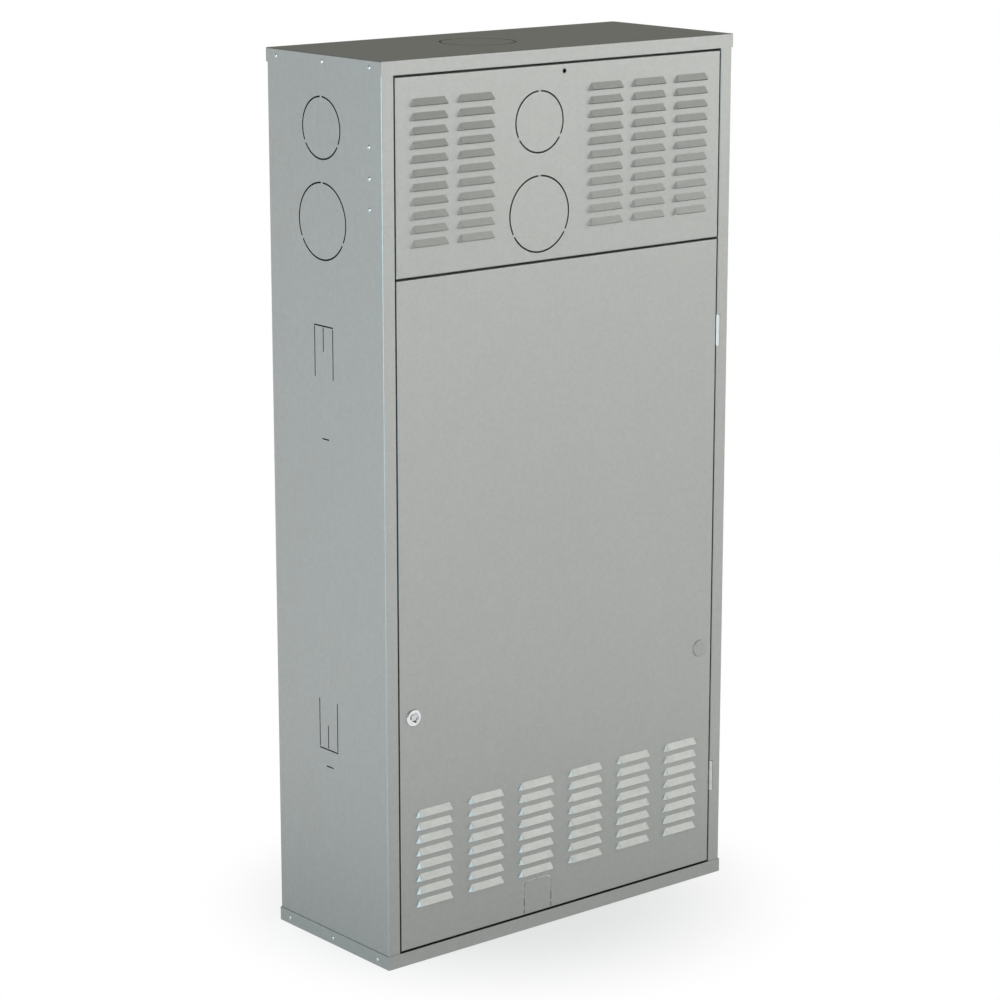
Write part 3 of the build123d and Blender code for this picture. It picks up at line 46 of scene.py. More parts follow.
# All lengths are in metres.
MERGE_GAP = 0.000005
SHARP_ANGLE = math.radians(35)

# Ring cuts for the flue, each as its height and radius, and the places of their middles.
UPPER_CUT = (1.106, 0.0405)
LOWER_CUT = (0.986, 0.0505)
FLUE_X = -0.042
FLUE_Y = 0.0055
# Band of painted shade along each ring cut: its inset, its half width, which reaches past the cut onto the
# sheet, and the bridges that it leaves out.
CUT_INSET = 0.0006
SHADE_BAND_HALF_WIDTH = 0.0011
BRIDGES = 3.0
BRIDGE_HALF_WIDTH = 0.0021

# Rivets at both ends of each side wall, in the tray and the cap, and those of the inner brackets.
END_RIVET_X = 0.300
END_RIVET_ROWS = (-0.0975, 0.0015, 0.1005)
END_RIVET_LEVELS = (0.0095, 1.1905)
BRACKET_RIVET_X = 0.299
BRACKET_RIVET_Y = -0.0945
BRACKET_RIVET_LEVELS = (1.091, 1.051, 1.012)

# Controls on the fascia. Angles are in degrees from straight up.
DIAL_LEVEL = 0.252
DIAL_FACE_Y = -0.08605
DIAL_RING_Y = -0.0910
HEATING_KNOB_X = -0.160
WATER_KNOB_X = -0.100
KNOB_SCALE_Y = -0.08805
KNOB_SEAT_Y = -0.0883
KNOB_LINE_Y = -0.1023
KNOB_LINE_LEVEL = 0.2612
HALF_SWEEP = 135
SCALE_TICKS = 11
TICK_ANGLE = 27
FINE_TICKS = 5
PRINT_LIFT = 0.0001
DIAL_PRINT_LIFT = 0.00012

# Window in the chamber's cover.
SIGHT_GLASS_LEVEL = 0.560
BEZEL_Y = -0.0870
PANE_Y = -0.0871

# Middle of the sleeves on the stop valves' levers.
SLEEVE_Y = 0.0185
SLEEVE_LEVEL = 0.1565


# ---------- node groups: the effects that several finishes share ----------

def new_group(name, inputs, outputs):
    """A shader node group with its sockets, its input and output nodes."""
    tree = bpy.data.node_groups.new(name, "ShaderNodeTree")
    for label, kind, value in inputs:
        socket = tree.interface.new_socket(name=label, in_out="INPUT", socket_type="NodeSocket" + kind)
        if value is not None:
            socket.default_value = value
    for label, kind in outputs:
        tree.interface.new_socket(name=label, in_out="OUTPUT", socket_type="NodeSocket" + kind)
    return tree, tree.nodes.new("NodeGroupInput"), tree.nodes.new("NodeGroupOutput")


def noise(tree, vector, scale, detail=3.0, roughness=0.5):
    """A noise value between 0 and 1."""
    node = tree.nodes.new("ShaderNodeTexNoise")
    tree.links.new(vector, node.inputs["Vector"])
    for label, value in (("Scale", scale), ("Detail", detail), ("Roughness", roughness)):
        node.inputs[label].default_value = value
    return node.outputs["Fac"]


def stretched(tree, vector, scale):
    """The coordinate scaled by axis, so that a noise on it becomes lines."""
    node = tree.nodes.new("ShaderNodeMapping")
    tree.links.new(vector, node.inputs["Vector"])
    node.inputs["Scale"].default_value = scale
    return node.outputs["Vector"]


def maths(tree, operation, first, second=None, third=None):
    """A Math node on sockets or plain numbers."""
    node = tree.nodes.new("ShaderNodeMath")
    node.operation = operation
    for i, value in enumerate((first, second, third)):
        if value is None:
            continue
        if isinstance(value, (int, float)):
            node.inputs[i].default_value = value
        else:
            tree.links.new(value, node.inputs[i])
    return node.outputs[0]


def centred(tree, value):
    """The value less a half, so that a noise lies around nought."""
    return maths(tree, "SUBTRACT", value, 0.5)


def ranged(tree, value, low, high, start=0.0, end=1.0, smooth=False):
    """The value from low to high, mapped to start to end and held there."""
    node = tree.nodes.new("ShaderNodeMapRange")
    for label, number in (("From Min", low), ("From Max", high), ("To Min", start), ("To Max", end)):
        node.inputs[label].default_value = number
    if smooth:
        node.interpolation_type = "SMOOTHSTEP"
    tree.links.new(value, node.inputs["Value"])
    return node.outputs["Result"]


def blended(tree, share, first, second):
    """A mix of two colours, each a socket or a plain colour."""
    node = tree.nodes.new("ShaderNodeMix")
    node.data_type = "RGBA"
    tree.links.new(share, node.inputs["Factor"])
    for i, colour in ((6, first), (7, second)):
        if isinstance(colour, tuple):
            node.inputs[i].default_value = colour
        else:
            tree.links.new(colour, node.inputs[i])
    return node.outputs[2]


def shaded(tree, colour, factor):
    """The colour times a factor that lies around one."""
    node = tree.nodes.new("ShaderNodeVectorMath")
    node.operation = "SCALE"
    tree.links.new(colour, node.inputs[0])
    tree.links.new(factor, node.inputs["Scale"])
    return node.outputs["Vector"]


SURFACE_OUTPUTS = (("Color", "Color"), ("Roughness", "Float"), ("Height", "Float"))


def zinc_coating_group():
    """Hot dip zinc on sheet: soft clouds, a fine crystal pattern and faint rolling lines."""
    tree, given, made = new_group("zinc_coating", (
        ("Vector", "Vector", None), ("Tint", "Color", (0.5, 0.5, 0.5, 1)),
        ("Cloud", "Float", 0.06), ("Crystal", "Float", 0.05), ("Rolling", "Float", 0.03),
        ("Roughness", "Float", 0.4)), SURFACE_OUTPUTS)
    place = given.outputs["Vector"]
    cloud = noise(tree, place, 5.0, 4.0, 0.55)
    crystals = tree.nodes.new("ShaderNodeTexVoronoi")
    tree.links.new(place, crystals.inputs["Vector"])
    crystals.inputs["Scale"].default_value = 210.0
    crystal = tree.nodes.new("ShaderNodeSeparateColor")
    tree.links.new(crystals.outputs["Color"], crystal.inputs["Color"])
    line = noise(tree, stretched(tree, place, (420.0, 420.0, 5.0)), 1.0, 2.0)
    speck = noise(tree, place, 900.0, 1.0)
    level = maths(tree, "MULTIPLY_ADD", centred(tree, cloud), given.outputs["Cloud"], 1.0)
    for source, share in ((crystal.outputs[0], "Crystal"), (line, "Rolling"), (speck, "Rolling")):
        level = maths(tree, "MULTIPLY_ADD", centred(tree, source), given.outputs[share], level)
    tree.links.new(shaded(tree, given.outputs["Tint"], level), made.inputs["Color"])
    rough = maths(tree, "MULTIPLY_ADD", centred(tree, cloud), 0.12, given.outputs["Roughness"])
    rough = maths(tree, "MULTIPLY_ADD", crystal.outputs[1], 0.05, rough)
    tree.links.new(rough, made.inputs["Roughness"])
    height = maths(tree, "MULTIPLY_ADD", speck, 0.35, maths(tree, "MULTIPLY_ADD", cloud, 0.4, line))
    tree.links.new(height, made.inputs["Height"])
    return tree


def worked_metal_group():
    """Drawn, turned or brushed metal: lines along one axis, tarnish in patches, small scratches."""
    tree, given, made = new_group("worked_metal", (
        ("Vector", "Vector", None), ("Tint", "Color", (0.5, 0.5, 0.5, 1)),
        ("Tarnish", "Color", (0.3, 0.3, 0.3, 1)), ("Patch Scale", "Float", 30.0),
        ("Patch Amount", "Float", 0.3), ("Line Amount", "Float", 0.1), ("Roughness", "Float", 0.3)),
        SURFACE_OUTPUTS)
    place = given.outputs["Vector"]
    patches = tree.nodes.new("ShaderNodeTexNoise")
    tree.links.new(place, patches.inputs["Vector"])
    tree.links.new(given.outputs["Patch Scale"], patches.inputs["Scale"])
    patches.inputs["Detail"].default_value = 5.0
    line = noise(tree, stretched(tree, place, (900.0, 900.0, 60.0)), 1.0, 2.0)
    grain = noise(tree, place, 700.0, 2.0)
    share = ranged(tree, patches.outputs["Fac"], 0.45, 0.75)
    tarnished = maths(tree, "MULTIPLY", share, given.outputs["Patch Amount"])
    colour = blended(tree, tarnished, given.outputs["Tint"], given.outputs["Tarnish"])
    level = maths(tree, "MULTIPLY_ADD", centred(tree, line), given.outputs["Line Amount"], 1.0)
    tree.links.new(shaded(tree, colour, level), made.inputs["Color"])
    rough = maths(tree, "MULTIPLY_ADD", tarnished, 0.35, given.outputs["Roughness"])
    rough = maths(tree, "MULTIPLY_ADD", grain, 0.06, rough)
    tree.links.new(rough, made.inputs["Roughness"])
    height = maths(tree, "MULTIPLY_ADD", grain, 0.5, line)
    tree.links.new(height, made.inputs["Height"])
    return tree


def moulded_surface_group():
    """Moulded plastic, rubber, board or lacquer: fine pebbling, faint mottling, dust in soft patches."""
    tree, given, made = new_group("moulded_surface", (
        ("Vector", "Vector", None), ("Tint", "Color", (0.5, 0.5, 0.5, 1)),
        ("Dust", "Color", (0.5, 0.5, 0.47, 1)), ("Dust Amount", "Float", 0.08),
        ("Pebble Scale", "Float", 1500.0), ("Mottle", "Float", 0.06), ("Roughness", "Float", 0.45)),
        SURFACE_OUTPUTS)
    place = given.outputs["Vector"]
    pebbles = tree.nodes.new("ShaderNodeTexNoise")
    tree.links.new(place, pebbles.inputs["Vector"])
    tree.links.new(given.outputs["Pebble Scale"], pebbles.inputs["Scale"])
    pebbles.inputs["Detail"].default_value = 2.0
    patch = noise(tree, place, 24.0, 5.0, 0.6)
    dusty = maths(tree, "MULTIPLY", ranged(tree, patch, 0.4, 0.8), given.outputs["Dust Amount"])
    colour = blended(tree, dusty, given.outputs["Tint"], given.outputs["Dust"])
    level = maths(tree, "MULTIPLY_ADD", centred(tree, patch), given.outputs["Mottle"], 1.0)
    tree.links.new(shaded(tree, colour, level), made.inputs["Color"])
    rough = maths(tree, "MULTIPLY_ADD", dusty, 0.5, given.outputs["Roughness"])
    rough = maths(tree, "MULTIPLY_ADD", pebbles.outputs["Fac"], 0.08, rough)
    tree.links.new(rough, made.inputs["Roughness"])
    tree.links.new(pebbles.outputs["Fac"], made.inputs["Height"])
    return tree


def ring_cut_shade_group():
    """Where one ring cut gets painted shade: a band over the cut and a thin rim on the sheet beside it,
    without its bridges, the first of which lies on Up.
    """
    inputs = (("Across", "Float", 0.0), ("Up", "Float", 0.0), ("Radius", "Float", 0.05))
    tree, given, made = new_group("ring_cut_painted_shade", inputs, (("Mask", "Float"),))
    across, up, radius = (given.outputs[label] for label in ("Across", "Up", "Radius"))
    squares = [maths(tree, "MULTIPLY", side, side) for side in (across, up)]
    reach = maths(tree, "SQRT", maths(tree, "ADD", *squares))
    middle = maths(tree, "SUBTRACT", radius, CUT_INSET)
    off = maths(tree, "ABSOLUTE", maths(tree, "SUBTRACT", reach, middle))
    ring = maths(tree, "LESS_THAN", off, SHADE_BAND_HALF_WIDTH)
    turn = maths(tree, "MULTIPLY", maths(tree, "ARCTAN2", across, up), BRIDGES)
    bridge = maths(tree, "MULTIPLY", maths(tree, "DIVIDE", BRIDGE_HALF_WIDTH, radius), BRIDGES)
    bridged = maths(tree, "GREATER_THAN", maths(tree, "COSINE", turn), maths(tree, "COSINE", bridge))
    cut = maths(tree, "SUBTRACT", 1.0, bridged)
    tree.links.new(maths(tree, "MULTIPLY", ring, cut), made.inputs["Mask"])
    return tree


ZINC = zinc_coating_group()
WORKED = worked_metal_group()
MOULDED = moulded_surface_group()
RING_CUT_SHADE = ring_cut_shade_group()


# ---------- materials ----------

def finish_of(name, group, values, metallic, bump, depth, coat=0.0):
    """A Principled material on Object coordinates whose colour, roughness and bump come from one group."""
    material = bpy.data.materials.new(name)
    material.use_nodes = True
    tree = material.node_tree
    shader = tree.nodes["Principled BSDF"]
    place = tree.nodes.new("ShaderNodeTexCoord")
    effect = tree.nodes.new("ShaderNodeGroup")
    effect.node_tree = group
    tree.links.new(place.outputs["Object"], effect.inputs["Vector"])
    for label, value in values.items():
        effect.inputs[label].default_value = (*value, 1.0) if isinstance(value, tuple) else value
    relief = tree.nodes.new("ShaderNodeBump")
    relief.inputs["Strength"].default_value = bump
    relief.inputs["Distance"].default_value = depth
    tree.links.new(effect.outputs["Height"], relief.inputs["Height"])
    tree.links.new(relief.outputs["Normal"], shader.inputs["Normal"])
    tree.links.new(effect.outputs["Color"], shader.inputs["Base Color"])
    tree.links.new(effect.outputs["Roughness"], shader.inputs["Roughness"])
    shader.inputs["Metallic"].default_value = metallic
    shader.inputs["Coat Weight"].default_value = coat
    return material


def zinc(name, tint, roughness):
    """Galvanised sheet."""
    values = {"Tint": tint, "Cloud": 0.07, "Crystal": 0.05, "Rolling": 0.04, "Roughness": roughness}
    return finish_of(name, ZINC, values, metallic=0.9, bump=0.12, depth=0.00015)


def worked(name, tint, tarnish, roughness, patch_scale, patch, line, bump=0.12):
    """Bare or plated metal, with its tarnish in patches."""
    values = {"Tint": tint, "Tarnish": tarnish, "Patch Scale": patch_scale, "Patch Amount": patch,
              "Line Amount": line, "Roughness": roughness}
    return finish_of(name, WORKED, values, metallic=1.0, bump=bump, depth=0.0001)


def moulded(name, tint, roughness, dust=0.06, pebble=1500.0, mottle=0.06, bump=0.15, depth=0.0001,
            coat=0.0, metallic=0.0):
    """Plastic, rubber, board, lacquer or print."""
    values = {"Tint": tint, "Dust Amount": dust, "Pebble Scale": pebble, "Mottle": mottle,
              "Roughness": roughness}
    return finish_of(name, MOULDED, values, metallic=metallic, bump=bump, depth=depth, coat=coat)


# Plain numbers stand in the order of the functions above, so the first of them is the roughness.
finishes = {
    "galvanised_sheet": zinc("galvanised_sheet", (0.405, 0.415, 0.40), 0.43),
    "zinc_plated_steel": worked("zinc_plated_steel", (0.66, 0.67, 0.66), (0.42, 0.42, 0.4), 0.26, 90.0,
                                0.3, 0.08),
    "chrome": worked("chrome", (0.78, 0.79, 0.8), (0.6, 0.61, 0.62), 0.08, 120.0, 0.12, 0.02, bump=0.03),
    "plug_plastic": moulded("plug_plastic", (0.40, 0.41, 0.40), 0.38, metallic=0.55),
    "stainless_steel": worked("stainless_steel", (0.62, 0.61, 0.59), (0.45, 0.4, 0.34), 0.3, 18.0,
                              0.35, 0.12),
    "aluminised_steel": worked("aluminised_steel", (0.66, 0.67, 0.68), (0.5, 0.5, 0.5), 0.42, 22.0,
                               0.4, 0.06),
    "red_lacquer": moulded("red_lacquer", (0.42, 0.028, 0.022), 0.3, 0.05, 420.0, 0.05, 0.2, 0.0002,
                           coat=0.35),
    "rubber": moulded("rubber", (0.03, 0.03, 0.032), 0.62, 0.12, 900.0),
    "fibre_board": moulded("fibre_board", (0.74, 0.72, 0.65), 0.85, 0.05, 380.0, 0.16, 0.6, 0.0006),
    "copper": worked("copper", (0.72, 0.36, 0.22), (0.33, 0.15, 0.1), 0.26, 16.0, 0.55, 0.08),
    "brass": worked("brass", (0.66, 0.49, 0.22), (0.4, 0.27, 0.12), 0.34, 40.0, 0.4, 0.05, bump=0.2),
    "cast_aluminium": worked("cast_aluminium", (0.56, 0.57, 0.58), (0.42, 0.42, 0.43), 0.46, 34.0,
                             0.4, 0.04, bump=0.35),
    "cast_iron": moulded("cast_iron", (0.055, 0.057, 0.06), 0.42, 0.1, 260.0, 0.12, 0.6, 0.0005,
                         metallic=0.2),
    "black_plastic": moulded("black_plastic", (0.022, 0.022, 0.023), 0.42, 0.08),
    "motor_lacquer": moulded("motor_lacquer", (0.07, 0.1, 0.12), 0.36, 0.08, 520.0, 0.06, 0.2, 0.0002,
                             coat=0.2),
    "red_plastic": moulded("red_plastic", (0.5, 0.028, 0.022), 0.36),
    "yellow_plastic": moulded("yellow_plastic", (0.76, 0.46, 0.03), 0.4),
    "grey_plastic": moulded("grey_plastic", (0.58, 0.58, 0.56), 0.42),
    "gauge_white": moulded("gauge_white", (0.74, 0.74, 0.71), 0.3, 0.02),
    "circuit_board": moulded("circuit_board", (0.02, 0.15, 0.06), 0.3, 0.05, 900.0, 0.1, coat=0.4),
}


def sheet_with_painted_cut_shade(name, axes, rings):
    """The galvanised sheet with painted shade, near black and rougher, over its ring cuts and a thin rim
    beside them, given as across, up and radius.
    """
    material = finishes["galvanised_sheet"].copy()
    material.name = name
    tree = material.node_tree
    place = tree.nodes.new("ShaderNodeTexCoord")
    parts = tree.nodes.new("ShaderNodeSeparateXYZ")
    tree.links.new(place.outputs["Object"], parts.inputs["Vector"])
    shade_mask = None
    for across, up, radius in rings:
        ring = tree.nodes.new("ShaderNodeGroup")
        ring.node_tree = RING_CUT_SHADE
        for label, axis, middle in (("Across", axes[0], across), ("Up", axes[1], up)):
            tree.links.new(maths(tree, "SUBTRACT", parts.outputs[axis], middle), ring.inputs[label])
        ring.inputs["Radius"].default_value = radius
        shade_mask = maths(tree, "MAXIMUM", shade_mask, ring.outputs["Mask"]) if shade_mask else ring.outputs["Mask"]
    shader = tree.nodes["Principled BSDF"]
    whole = shader.inputs["Base Color"].links[0].from_socket
    # Painted shade: the ring cuts and a thin rim beside them are coloured near black, standing in for the
    # shaded gap of each cut.
    tree.links.new(blended(tree, shade_mask, whole, (0.012, 0.012, 0.011, 1)), shader.inputs["Base Color"])
    rough = tree.nodes.new("ShaderNodeMix")
    tree.links.new(shade_mask, rough.inputs["Factor"])
    tree.links.new(shader.inputs["Roughness"].links[0].from_socket, rough.inputs[2])
    rough.inputs[3].default_value = 0.75
    tree.links.new(rough.outputs[0], shader.inputs["Roughness"])
    return material


# These sheets carry painted shade along their ring cuts.
front_sheet = sheet_with_painted_cut_shade("front_sheet", ("X", "Z"), ((FLUE_X, *UPPER_CUT), (FLUE_X, *LOWER_CUT)))
side_sheet = sheet_with_painted_cut_shade("side_sheet", ("Y", "Z"), ((FLUE_Y, *UPPER_CUT), (FLUE_Y, *LOWER_CUT)))
top_sheet = sheet_with_painted_cut_shade("top_sheet", ("X", "Y"), ((FLUE_X, FLUE_Y, LOWER_CUT[1]),))
lead_blue = moulded("lead_blue", (0.03, 0.09, 0.32), 0.4)
print_black = moulded("print_black", (0.02, 0.02, 0.02), 0.5, 0.02)
print_white = moulded("print_white", (0.75, 0.75, 0.73), 0.5, 0.02)
scale_green = moulded("scale_green", (0.04, 0.3, 0.08), 0.5, 0.02)
scale_red = moulded("scale_red", (0.5, 0.03, 0.03), 0.5, 0.02)
smoked_glass = moulded("smoked_glass", (0.03, 0.022, 0.016), 0.08, 0.02, 200.0, 0.02, 0.02, coat=0.8)

for part in frame["record"]["subparts"]:
    shape = frame["nodes"][part["node"]]
    shape.data.materials.clear()
    shape.data.materials.append(finishes[part["material_slot"]])
for node, sheet in (("left_side_panel", side_sheet), ("right_side_panel", side_sheet),
                    ("top_cap", top_sheet), ("upper_front_panel", front_sheet)):
    frame["nodes"][node].data.materials[0] = sheet


# ---------- pieces modelled here ----------

def piece(name, mesh, material, body, smooth=True):
    """A finished bmesh as an object at the origin that rides on a body."""
    bmesh.ops.remove_doubles(mesh, verts=mesh.verts, dist=MERGE_GAP)
    bmesh.ops.recalc_face_normals(mesh, faces=mesh.faces)
    data = bpy.data.meshes.new(name)
    mesh.to_mesh(data)
    mesh.free()
    shape = bpy.data.objects.new(name, data)
    scene.collection.objects.link(shape)
    data.materials.append(material)
    if smooth:
        data.shade_smooth()
        data.set_sharp_from_angle(angle=SHARP_ANGLE)
    else:
        data.shade_flat()
    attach(shape, body)
    return shape


def set_in_place(mesh, parts, place, degrees=90, axis="X"):
    """Turns vertices about an axis through the origin, then moves them to their place."""
    turn = Matrix.Rotation(math.radians(degrees), 3, axis)
    bmesh.ops.rotate(mesh, cent=(0, 0, 0), matrix=turn, verts=parts)
    bmesh.ops.translate(mesh, vec=place, verts=parts)


def bar(mesh, size, place=(0, 0, 0)):
    """An upright bar and its vertices, before its edges are rounded."""
    made = bmesh.ops.create_cube(mesh, size=1.0)["verts"]
    bmesh.ops.scale(mesh, vec=size, verts=made)
    bmesh.ops.translate(mesh, vec=place, verts=made)
    return made


def round_edges(mesh, parts, radius, segments):
    """Rounds the edges that lie wholly among these vertices."""
    edges = [edge for edge in mesh.edges if all(v in parts for v in edge.verts)]
    bmesh.ops.bevel(mesh, geom=edges, affect="EDGES", offset=radius, segments=segments, profile=0.5,
                    material=-1)


def turned_profile(mesh, profile, steps):
    """Spins (radius, height) points about Z into a closed solid and returns its vertices."""
    before = set(mesh.verts)
    points = [mesh.verts.new((radius, 0.0, height)) for radius, height in profile]
    edges = [mesh.edges.new(pair) for pair in zip(points, points[1:])]
    bmesh.ops.spin(mesh, geom=points + edges, cent=(0, 0, 0), axis=(0, 0, 1), dvec=(0, 0, 0),
                   angle=math.tau, steps=steps, use_merge=True)
    made = [v for v in mesh.verts if v not in before]
    bmesh.ops.remove_doubles(mesh, verts=made, dist=MERGE_GAP)
    return [v for v in mesh.verts if v not in before]


def marks(mesh, centre, radii, width, lift, angles):
    """Small raised bars on a face that looks towards the front, at these angles from straight up."""
    for angle in angles:
        made = bar(mesh, (width, lift, radii[1] - radii[0]), (0, 0, (radii[0] + radii[1]) / 2))
        set_in_place(mesh, made, centre, angle, "Y")


def dial_arc(mesh, centre, radii, lift, start, end, steps=24):
    """A raised band of a ring on a face that looks towards the front, from one angle to another."""
    before = set(mesh.verts)
    sides = (-lift / 2, lift / 2)
    corners = [mesh.verts.new((0, side, radius)) for side in sides for radius in radii]
    face = mesh.faces.new([corners[0], corners[1], corners[3], corners[2]])
    turn = Matrix.Rotation(math.radians(start), 3, "Y")
    bmesh.ops.rotate(mesh, cent=(0, 0, 0), matrix=turn, verts=corners)
    bmesh.ops.spin(mesh, geom=[face, *face.edges, *corners], cent=(0, 0, 0), axis=(0, 1, 0),
                   dvec=(0, 0, 0), angle=math.radians(end - start), steps=steps, use_duplicate=False)
    bmesh.ops.translate(mesh, vec=centre, verts=[v for v in mesh.verts if v not in before])


def rivet_domes():
    """Domed blind rivets with the hole of their drawn mandrel, on both sides of the cabinet."""
    mesh = bmesh.new()
    places = [(END_RIVET_X, y, z) for y in END_RIVET_ROWS for z in END_RIVET_LEVELS]
    places += [(BRACKET_RIVET_X, BRACKET_RIVET_Y, z) for z in BRACKET_RIVET_LEVELS]
    dome = ((0.0, 0.0004), (0.0008, 0.0004), (0.0009, 0.00095), (0.0015, 0.0009), (0.0022, 0.00065),
            (0.0027, 0.0003), (0.0028, 0.0), (0.0016, 0.0), (0.0016, -0.0019), (0.0, -0.0019))
    for side in (-1, 1):
        for x, y, z in places:
            made = turned_profile(mesh, dome, 20)
            set_in_place(mesh, made, (side * x, y, z), 90 * side, "Y")
    domes = piece("rivet_domes", mesh, finishes["zinc_plated_steel"], "cabinet")
    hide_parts("cabinet_rivets")


def gauge_face():
    """Printed ticks and coloured bands on the dial of the pressure gauge."""
    centre = (0.0, DIAL_FACE_Y, DIAL_LEVEL)
    first = 360 - HALF_SWEEP
    long_ticks = [first + TICK_ANGLE * step for step in range(SCALE_TICKS)]
    fine_steps = range(FINE_TICKS * (SCALE_TICKS - 1) + 1)
    short_ticks = [first + TICK_ANGLE / FINE_TICKS * step for step in fine_steps if step % FINE_TICKS]
    ticks = bmesh.new()
    marks(ticks, centre, (0.0165, 0.0208), 0.0007, DIAL_PRINT_LIFT, long_ticks)
    marks(ticks, centre, (0.0188, 0.0208), 0.0004, DIAL_PRINT_LIFT, short_ticks)
    piece("gauge_ticks", ticks, print_black, "cabinet", smooth=False)
    for name, material, start, end in (("gauge_working_band", scale_green, 306, 387),
                                       ("gauge_limit_band", scale_red, 441, 495)):
        band = bmesh.new()
        dial_arc(band, centre, (0.0138, 0.0155), DIAL_PRINT_LIFT, start, end)
        piece(name, band, material, "cabinet", smooth=False)


def knob_scale(name, x):
    """Printed scale on the fascia round one knob: ticks and a band."""
    centre = (x, KNOB_SCALE_Y, DIAL_LEVEL)
    angles = [TICK_ANGLE * step - HALF_SWEEP for step in range(SCALE_TICKS)]
    ticks = bmesh.new()
    marks(ticks, centre, (0.0215, 0.0243), 0.0006, PRINT_LIFT, angles)
    dial_arc(ticks, centre, (0.0252, 0.0258), PRINT_LIFT, -HALF_SWEEP, HALF_SWEEP, 40)
    piece(name, ticks, print_black, "cabinet", smooth=False)


def fluted_knob(name, x, body, node):
    """Moulded knob with finger flutes, a dished top, a raised pointer and its shaft."""
    mesh = bmesh.new()
    outline = ((0.0, -0.0177), (0.003, -0.0177), (0.003, 0.0), (0.0185, 0.0), (0.019, 0.0006),
               (0.019, 0.003), (0.0178, 0.0040), (0.0174, 0.0112), (0.0166, 0.0124), (0.0150, 0.0130),
               (0.0130, 0.0126), (0.0, 0.0120))
    flutes = 20
    flute_depth = 0.035
    grip_radius = 0.0145
    skirt_height = 0.0035
    for vertex in turned_profile(mesh, outline, 6 * flutes):
        reach = math.hypot(vertex.co.x, vertex.co.y)
        if reach > grip_radius and vertex.co.z > skirt_height:
            turn = math.atan2(vertex.co.y, vertex.co.x)
            share = 1.0 - flute_depth * max(0.0, math.cos(flutes * turn))
            vertex.co.x *= share
            vertex.co.y *= share
    pointer = bar(mesh, (0.0026, 0.0155, 0.0016), (0, 0.0083, 0.0131))
    round_edges(mesh, pointer, 0.0004, 2)
    set_in_place(mesh, mesh.verts, (x, KNOB_SEAT_Y, DIAL_LEVEL))
    knob = piece(name, mesh, finishes["black_plastic"], body)
    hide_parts(node)
    line = bmesh.new()
    stroke = bar(line, (0.0011, 0.0002, 0.0120), (x, KNOB_LINE_Y, KNOB_LINE_LEVEL))
    round_edges(line, stroke, 0.00008, 1)
    piece(name + "_line", line, print_white, body, smooth=False)


def lever_sleeve(name, x, body, slot_name):
    """Dipped plastic sleeve with grip ribs over the free end of a valve lever."""
    mesh = bmesh.new()
    round_edges(mesh, bar(mesh, (0.0136, 0.0046, 0.0360)), 0.0019, 4)
    for level in (-0.011, -0.007, -0.003, 0.001, 0.005, 0.009):
        round_edges(mesh, bar(mesh, (0.0104, 0.0056, 0.0014), (0, 0, level)), 0.0004, 2)
    bmesh.ops.translate(mesh, vec=(x, SLEEVE_Y, SLEEVE_LEVEL), verts=mesh.verts)
    piece(name, mesh, finishes[slot_name], body)


def lead(name, points, radius, material):
    """One wire that is fixed at both ends inside the cabinet, as a smooth round curve."""
    curve = bpy.data.curves.new(name, "CURVE")
    curve.dimensions = "3D"
    curve.bevel_depth = radius
    curve.bevel_resolution = 3
    curve.resolution_u = 10
    curve.use_fill_caps = True
    run = curve.splines.new("BEZIER")
    run.bezier_points.add(len(points) - 1)
    for knot, point in zip(run.bezier_points, points):
        knot.co = point
        knot.handle_left_type = knot.handle_right_type = "AUTO"
    curve.materials.append(material)
    shape = bpy.data.objects.new(name, curve)
    scene.collection.objects.link(shape)
    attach(shape, "cabinet")


def sight_glass():
    """Round window in the chamber's cover, with its bezel, through which the flame is seen."""
    mesh = bmesh.new()
    rim = ((0.0105, 0.0), (0.0165, 0.0), (0.0165, 0.0018), (0.0155, 0.0028), (0.0125, 0.0030),
           (0.0112, 0.0022), (0.0105, 0.0010), (0.0105, 0.0))
    turned_profile(mesh, rim, 48)
    set_in_place(mesh, mesh.verts, (0.0, BEZEL_Y, SIGHT_GLASS_LEVEL))
    piece("sight_glass_bezel", mesh, finishes["stainless_steel"], "cabinet")
    glass = bmesh.new()
    crown = ((0.0, 0.0), (0.0106, 0.0), (0.0106, 0.0009), (0.006, 0.0013), (0.0, 0.0014))
    turned_profile(glass, crown, 40)
    set_in_place(glass, glass.verts, (0.0, PANE_Y, SIGHT_GLASS_LEVEL))
    piece("sight_glass_pane", glass, smoked_glass, "cabinet")


def gauge_ring():
    """Polished ring round the dial of the pressure gauge."""
    ring = bmesh.new()
    section = ((0.0222, -0.0010), (0.0262, -0.0010), (0.0268, 0.0), (0.0262, 0.0006),
               (0.0240, 0.0010), (0.0226, 0.0006), (0.0222, -0.0010))
    turned_profile(ring, section, 64)
    set_in_place(ring, ring.verts, (0.0, DIAL_RING_Y, DIAL_LEVEL))
    piece("gauge_ring", ring, finishes["chrome"], "cabinet")


